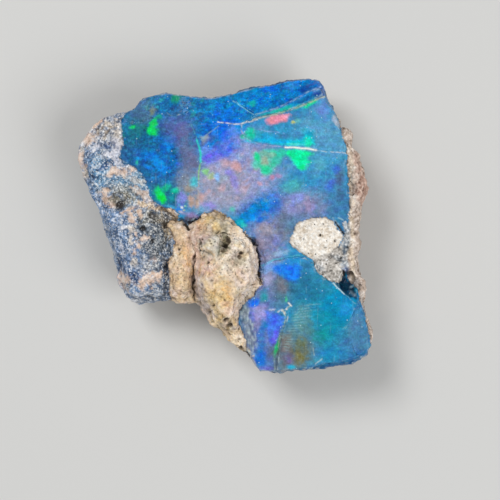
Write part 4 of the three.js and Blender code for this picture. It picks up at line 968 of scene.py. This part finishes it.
def rock_paint(at, relief, area):
    """The host rock's colours: tan lumps, the pale oval, the crumbs, the right crust and the brown back."""
    drift = stirred(stirred(at, 1.0, 0.2, 51), 0.35, 0.10, 54)
    # Paler where the rock stands proud and darker in its fine hollows: partly wear and dirt, partly painted
    # light and shade.
    stands = 2.2 * np.clip(relief, -0.08, 0.05)
    level = stone_level(at, 0.2, 0.34, 7) + stands + 0.06
    rock = painted(toned(level, "tan"), drift, BOSS_CLOUDS, 0.8, 0.65, 0.7, level)
    patches = ("yellow", 0.5, 68), ("blush", 0.4, 69), ("drab", 0.45, 70), ("lilac", 0.35, 71)
    rock = mixed_in(rock, drift, level, patches, 0.55, 1, 0.05, 0.6)
    spread = stone_level(at, 0.17, 0.55, 8) + stands
    for zone, tone, paler in (("rim", "rim", 0), ("oval", "oval", 0.12), ("crumbs", "crumb", 0)):
        share = ease_between(-0.03, 0.05, area[zone])
        rock += share[:, None] * (toned(spread + paler, tone) - rock)
    rock = painted(rock, drift, RIM_CLOUDS, 0.75, 0.65, 0.6, spread)
    patches = ("rim", 0.5, 74), ("brown", 0.5, 75), ("drab", 0.4, 76), ("bulge", 0.4, 77)
    back = mixed_in(toned(spread, "back"), drift, spread, patches, 1.8, 2, 0.0, 0.5)
    low = ease_between(3.6, 2.2, at[:, 2] + 0.5 * noise(at, 1.1, 78))
    rock += low[:, None] * (back - rock)
    fleck = ease_between(0.42, 0.62, noise(drift, 0.17, 72)) * ease_between(-0.2, 0.4, noise(drift, 0.7, 73))
    brown = np.maximum(0.7 * pocks(at), 0.6 * fleck) * ease_between(0.3, -0.3, area["oval"])
    return laid(rock, brown, "#4a3524")


def face_kinds(mesh, kind):
    """A material for each triangle: the highest number among its corners."""
    corner = kind[read(mesh.loops, "vertex_index", 1, np.int64)[:, 0]]
    starts = read(mesh.polygons, "loop_start", 1, np.int64)[:, 0]
    return np.maximum.reduce([corner[starts], corner[starts + 1], corner[starts + 2]])


def coloured(mesh):
    """Paints the finished mesh and returns which material each face takes."""
    at = places_of(mesh)
    out = normals_of(mesh)
    edges = edges_of(mesh)
    area = zones(at)
    crevice = crevice_depth(at)
    is_rock = (area["rock"] > 0) | (crevice > 0.5)
    is_grey = (area["grey"] > 0) & ~is_rock
    stone = is_rock | is_grey
    full = np.full(len(at), 0.5)
    near_mean = relaxed(at, edges, full, 5)
    far_mean = relaxed(near_mean, edges, full, 80)
    hollow = ((near_mean - at) * out).sum(1)
    deep = ((far_mean - at) * out).sum(1)

    paint = np.zeros((len(at), 4))
    here = np.nonzero(~stone)[0]
    paint[here] = opal_paint(at[here], out[here], -hollow[here])
    here = np.nonzero(is_grey)[0]
    paint[here] = potch_paint(at[here], -hollow[here], area["potch"][here])
    here = np.nonzero(is_rock)[0]
    paint[here] = rock_paint(at[here], -hollow[here], {zone: reach[here] for zone, reach in area.items()})

    # Painted shade and light: darker where rock, potch and opal meet, in the small hollows and in the broad
    # recesses of the stone, as painted shade, and a little paler where it stands proud, partly wear and
    # partly painted light.
    top = at[:, 2] > ROCK_LEVEL
    contact = np.exp(-((np.minimum(np.abs(area["rock"]), np.abs(area["grey"])) / 0.06) ** 2)) * top
    shade = 1 - 0.6 * contact * ease_between(-0.2, 0.5, noise(at, 0.5, 92))
    shade *= 1 - stone * 0.6 * ease_between(0.01, 0.06, hollow)
    shade *= 1 - stone * 0.45 * ease_between(0.03, 0.2, deep) + stone * 0.10 * ease_between(0.0, 0.15, -deep)
    paint[:, :3] *= shade[:, None]
    # Painted shade: the pits and the open cracks are laid over with near-black, standing in for the shade
    # inside them.
    dark = np.maximum(0.92 * hollow_depth(at) * stone, 0.97 * crevice)
    paint = laid(paint, dark, GAP_SHADE)
    layer = mesh.attributes.new("paint", "FLOAT_COLOR", "POINT")
    layer.data.foreach_set("color", np.clip(paint, 0, 1).ravel())
    return face_kinds(mesh, np.where(is_rock, 2, np.where(is_grey, 1, 0)))


# ---------------------------------------------------------------- materials


def add(tree, kind, inputs=(), **settings):
    """Adds a node. An input is a number, a hex colour, another node's first output or any output."""
    made = tree.nodes.new("ShaderNode" + kind)
    for name, value in settings.items():
        setattr(made, name, value)
    for name, value in dict(inputs).items():
        if isinstance(value, bpy.types.Node):
            value = value.outputs[0]
        if isinstance(value, bpy.types.NodeSocket):
            tree.links.new(value, made.inputs[name])
        elif isinstance(value, str):
            made.inputs[name].default_value = (*linear(value), 1)
        else:
            made.inputs[name].default_value = value
    return made


# Inputs and outputs that share a name are given by number: a range's are 1 to 4, a colour mix's are 6 and 7.
def started(name):
    """A new material with its places on the stone and its painted colour."""
    made = bpy.data.materials.new(name)
    made.use_nodes = True
    made.node_tree.nodes.clear()
    where = add(made.node_tree, "TexCoord").outputs["Object"]
    paint = add(made.node_tree, "Attribute", attribute_name="paint")
    return made, made.node_tree, where, paint.outputs["Color"], paint.outputs["Alpha"]


def per(size_mm):
    """The pattern scale that gives features of a size in millimetres."""
    return 1 / (size_mm * MM)


def dots(tree, where, gap_mm, rim, rarest, most):
    """Scattered round dots about `gap_mm` apart: 0 between them and up to `most` in the ones chosen."""
    cells = add(tree, "TexVoronoi", {"Vector": where, "Scale": per(gap_mm)})
    dot = add(tree, "MapRange", {"Value": cells.outputs["Distance"], 1: 0.08, 2: rim, 3: 1, 4: 0})
    chosen = add(tree, "SeparateColor", {"Color": cells.outputs["Color"]})
    chosen = add(tree, "MapRange", {"Value": chosen, 1: rarest, 2: rarest + 0.04, 3: 0, 4: most})
    return add(tree, "Math", {0: dot, 1: chosen}, operation="MULTIPLY")


def make_opal():
    """Dark precious opal: a waxy gloss over fine domains that each catch the light a little differently."""
    made, tree, where, paint, amount = started("precious_black_opal")
    streaked = add(tree, "Mapping", {"Vector": where, "Rotation": (0, 0, -0.7), "Scale": (0.6, 1, 1)})
    coarse = add(tree, "TexNoise", {"Vector": streaked, "Scale": per(0.22), "Detail": 1.0})
    fine = add(tree, "TexNoise", {"Vector": where, "Scale": per(0.11), "Detail": 1.0})
    coarse = add(tree, "MapRange", {"Value": coarse, 1: 0.3, 2: 0.7, 3: 0.78, 4: 1.22})
    fine = add(tree, "MapRange", {"Value": fine, 1: 0.3, 2: 0.7, 3: 0.72, 4: 1.28})
    value = add(tree, "Math", {0: coarse, 1: fine}, operation="MULTIPLY")
    value = add(tree, "Mix", {"Factor": amount, "A": 1.0, "B": value})
    turn = add(tree, "TexNoise", {"Vector": streaked, "Scale": per(0.3), "Detail": 2.0})
    turn = add(tree, "MapRange", {"Value": turn, 1: 0.3, 2: 0.7, 3: 0.485, 4: 0.515})
    tint = add(tree, "HueSaturation", {"Color": paint, "Hue": turn, "Value": value})
    # Dust and bruises: a few pale dots about 0.08 mm across.
    dot = dots(tree, where, 0.36, 0.14, 0.66, 0.75)
    tint = add(tree, "Mix", {"Factor": dot, 6: tint, 7: "#b8d8e8"}, data_type="RGBA").outputs[2]
    # Fine scratches, from noise of 0.1 mm, so that they are coarser than real ones.
    combed = add(tree, "Mapping", {"Vector": where, "Rotation": (0, 0, 0.5), "Scale": (1, 0.05, 1)})
    scratch = add(tree, "TexNoise", {"Vector": combed, "Scale": per(0.10)})
    scratch = add(tree, "MapRange", {"Value": scratch, 1: 0.64, 2: 0.74, 3: 0, 4: 0.2})
    tint = add(tree, "Mix", {"Factor": scratch, 6: tint, 7: "#a8c4d4"}, data_type="RGBA").outputs[2]
    haze = add(tree, "TexNoise", {"Vector": where, "Scale": per(0.5)})
    haze = add(tree, "MapRange", {"Value": haze, 1: 0.3, 2: 0.7, 3: 0.25, 4: 0.5})
    grain = add(tree, "TexNoise", {"Vector": where, "Scale": per(0.12), "Detail": 4.0})
    bump = add(tree, "Bump", {"Height": grain, "Distance": 0.012 * MM, "Strength": 1.0})
    shader = add(tree, "BsdfPrincipled", {
        "Base Color": tint, "Roughness": haze, "Normal": bump, "IOR": 1.45, "Specular IOR Level": 0.12,
        "Coat Weight": 0.1, "Coat Roughness": 0.1})
    add(tree, "OutputMaterial", {"Surface": shader})
    return made


def granular(name, grain_mm, grain_range, fine_mm, detail, fine_range):
    """A material of fine grains over the painted colour, with what its own finish is made from."""
    made, tree, where, paint, amount = started(name)
    grain = add(tree, "TexVoronoi", {"Vector": where, "Scale": per(grain_mm)})
    parts = add(tree, "SeparateColor", {"Color": grain.outputs["Color"]})
    fine = add(tree, "TexNoise", {"Vector": where, "Scale": per(fine_mm), "Detail": detail, "Roughness": 0.6})
    coarse = add(tree, "MapRange", {"Value": parts, 1: 0, 2: 1, 3: grain_range[0], 4: grain_range[1]})
    value = add(tree, "MapRange", {"Value": fine, 1: 0.3, 2: 0.7, 3: fine_range[0], 4: fine_range[1]})
    value = add(tree, "Math", {0: coarse, 1: value}, operation="MULTIPLY")
    value = add(tree, "Mix", {"Factor": amount, "A": 1.0, "B": value})
    shade = add(tree, "VectorMath", {0: paint, "Scale": value}, operation="SCALE")
    return made, tree, where, amount, parts, fine, shade


def make_potch():
    """Grey potch: sugary grains from white to nearly black, quite matt."""
    made, tree, _, amount, parts, fine, shade = granular(
        "grey_potch", 0.09, (0.76, 1.24), 0.12, 4.0, (0.74, 1.24))
    for channel, colour, much in ((1, "#f8f8f6", 0.5), (2, "#1a2236", 0.45)):
        spare = add(tree, "MapRange", {"Value": parts.outputs[channel], 1: 0.82, 2: 0.86, 3: 0, 4: much})
        spare = add(tree, "Math", {0: spare, 1: amount}, operation="MULTIPLY")
        shade = add(tree, "Mix", {"Factor": spare, 6: shade, 7: colour}, data_type="RGBA").outputs[2]
    height = add(tree, "Math", {0: parts, 1: fine}, operation="ADD")
    bump = add(tree, "Bump", {"Height": height, "Distance": 0.02 * MM, "Strength": 0.7})
    shader = add(tree, "BsdfPrincipled", {
        "Base Color": shade, "Roughness": 0.6, "Normal": bump, "IOR": 1.45})
    add(tree, "OutputMaterial", {"Surface": shader})
    return made


def make_claystone():
    """Host claystone: dry, dull and crumbly, with fine pale grains and small dark pores."""
    made, tree, where, _, _, fine, shade = granular(
        "host_claystone", 0.12, (0.88, 1.12), 0.15, 5.0, (0.76, 1.2))
    pore = dots(tree, where, 0.4, 0.15, 0.58, 0.8)
    shade = add(tree, "Mix", {"Factor": pore, 6: shade, 7: "#3a2c22"}, data_type="RGBA").outputs[2]
    height = add(tree, "Math", {0: fine, 1: pore}, operation="SUBTRACT")
    bump = add(tree, "Bump", {"Height": height, "Distance": 0.05 * MM, "Strength": 0.9})
    shader = add(tree, "BsdfPrincipled", {
        "Base Color": shade, "Roughness": 0.88, "Normal": bump, "IOR": 1.5, "Specular IOR Level": 0.3})
    add(tree, "OutputMaterial", {"Surface": shader})
    return made


# ---------------------------------------------------------------- the piece


def make_stone():
    """The one piece, in place of the solid."""
    even = refined(even_mesh(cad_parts["rough_opal"]))
    mesh = thinned(shaped(even))
    kinds = coloured(mesh)
    mesh.transform(Matrix.Scale(MM, 4))
    mesh.name = "opal_stone"
    mesh.materials.clear()
    for made in (make_opal(), make_potch(), make_claystone()):
        mesh.materials.append(made)
    mesh.polygons.foreach_set("material_index", kinds.astype(np.int32))
    mesh.polygons.foreach_set("use_smooth", np.ones(len(mesh.polygons), bool))
    mesh.update()
    stone = placed("opal_stone", mesh)
    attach(stone, "root")
    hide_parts("rough_opal")
    print("triangles", len(mesh.polygons))


# ---------------------------------------------------------------- camera, floor and light

VIEW_MIDDLE = (1.786, -1.723)  # the middle of the picture on the stone's plan
VIEW_WIDTH = 35.0  # what the picture spans
VIEW_LEVEL = 5.4  # the height at which the picture is that wide
LENS = 150
SENSOR = 36
FLOOR_REACH = 1.5  # metres from its middle to each side
SKY_STRENGTH = 0.27


def make_camera():
    """Looks straight down."""
    data = bpy.data.cameras.new("camera")
    data.lens = LENS
    data.sensor_width = SENSOR
    data.clip_start = 0.005
    data.clip_end = 10
    camera = placed("camera", data)
    height = VIEW_LEVEL + VIEW_WIDTH * LENS / SENSOR
    camera.location = Vector((*VIEW_MIDDLE, height)) * MM
    bpy.context.scene.camera = camera


def make_light(name, azimuth, elevation, distance, size, power):
    """A soft square light aimed at the stone. Azimuth 0 is at -Y and 90 at +X."""
    data = bpy.data.lights.new(name, "AREA")
    data.size = size * MM
    data.energy = power
    lamp = placed(name, data)
    a, e = math.radians(azimuth), math.radians(elevation)
    towards = Vector((math.sin(a) * math.cos(e), -math.cos(a) * math.cos(e), math.sin(e)))
    lamp.location = towards * distance * MM + Vector((0, 0, 4 * MM))
    lamp.rotation_euler = towards.to_track_quat("Z", "Y").to_euler()
    lamp.visible_camera = False


def make_studio():
    """A pale matt floor, an even sky and two soft lights."""
    floor_mesh = bpy.data.meshes.new("floor")
    s = FLOOR_REACH
    floor_mesh.from_pydata([(-s, -s, 0), (s, -s, 0), (s, s, 0), (-s, s, 0)], [], [(0, 1, 2, 3)])
    floor = placed("floor", floor_mesh)
    pale = bpy.data.materials.new("pale_floor")
    pale.use_nodes = True
    shader = pale.node_tree.nodes["Principled BSDF"]
    shader.inputs["Base Color"].default_value = (*linear("#d8d8d6"), 1)
    shader.inputs["Roughness"].default_value = 0.9
    floor_mesh.materials.append(pale)
    world = bpy.data.worlds.new("studio")
    world.use_nodes = True
    world.node_tree.nodes["Background"].inputs["Color"].default_value = (1, 1, 1, 1)
    world.node_tree.nodes["Background"].inputs["Strength"].default_value = SKY_STRENGTH
    bpy.context.scene.world = world
    make_light("key", azimuth=225, elevation=56, distance=300, size=120, power=0.42)
    make_light("fill", azimuth=60, elevation=48, distance=300, size=200, power=0.44)
    bpy.context.scene.view_settings.view_transform = "Standard"


make_camera()
make_studio()
make_stone()
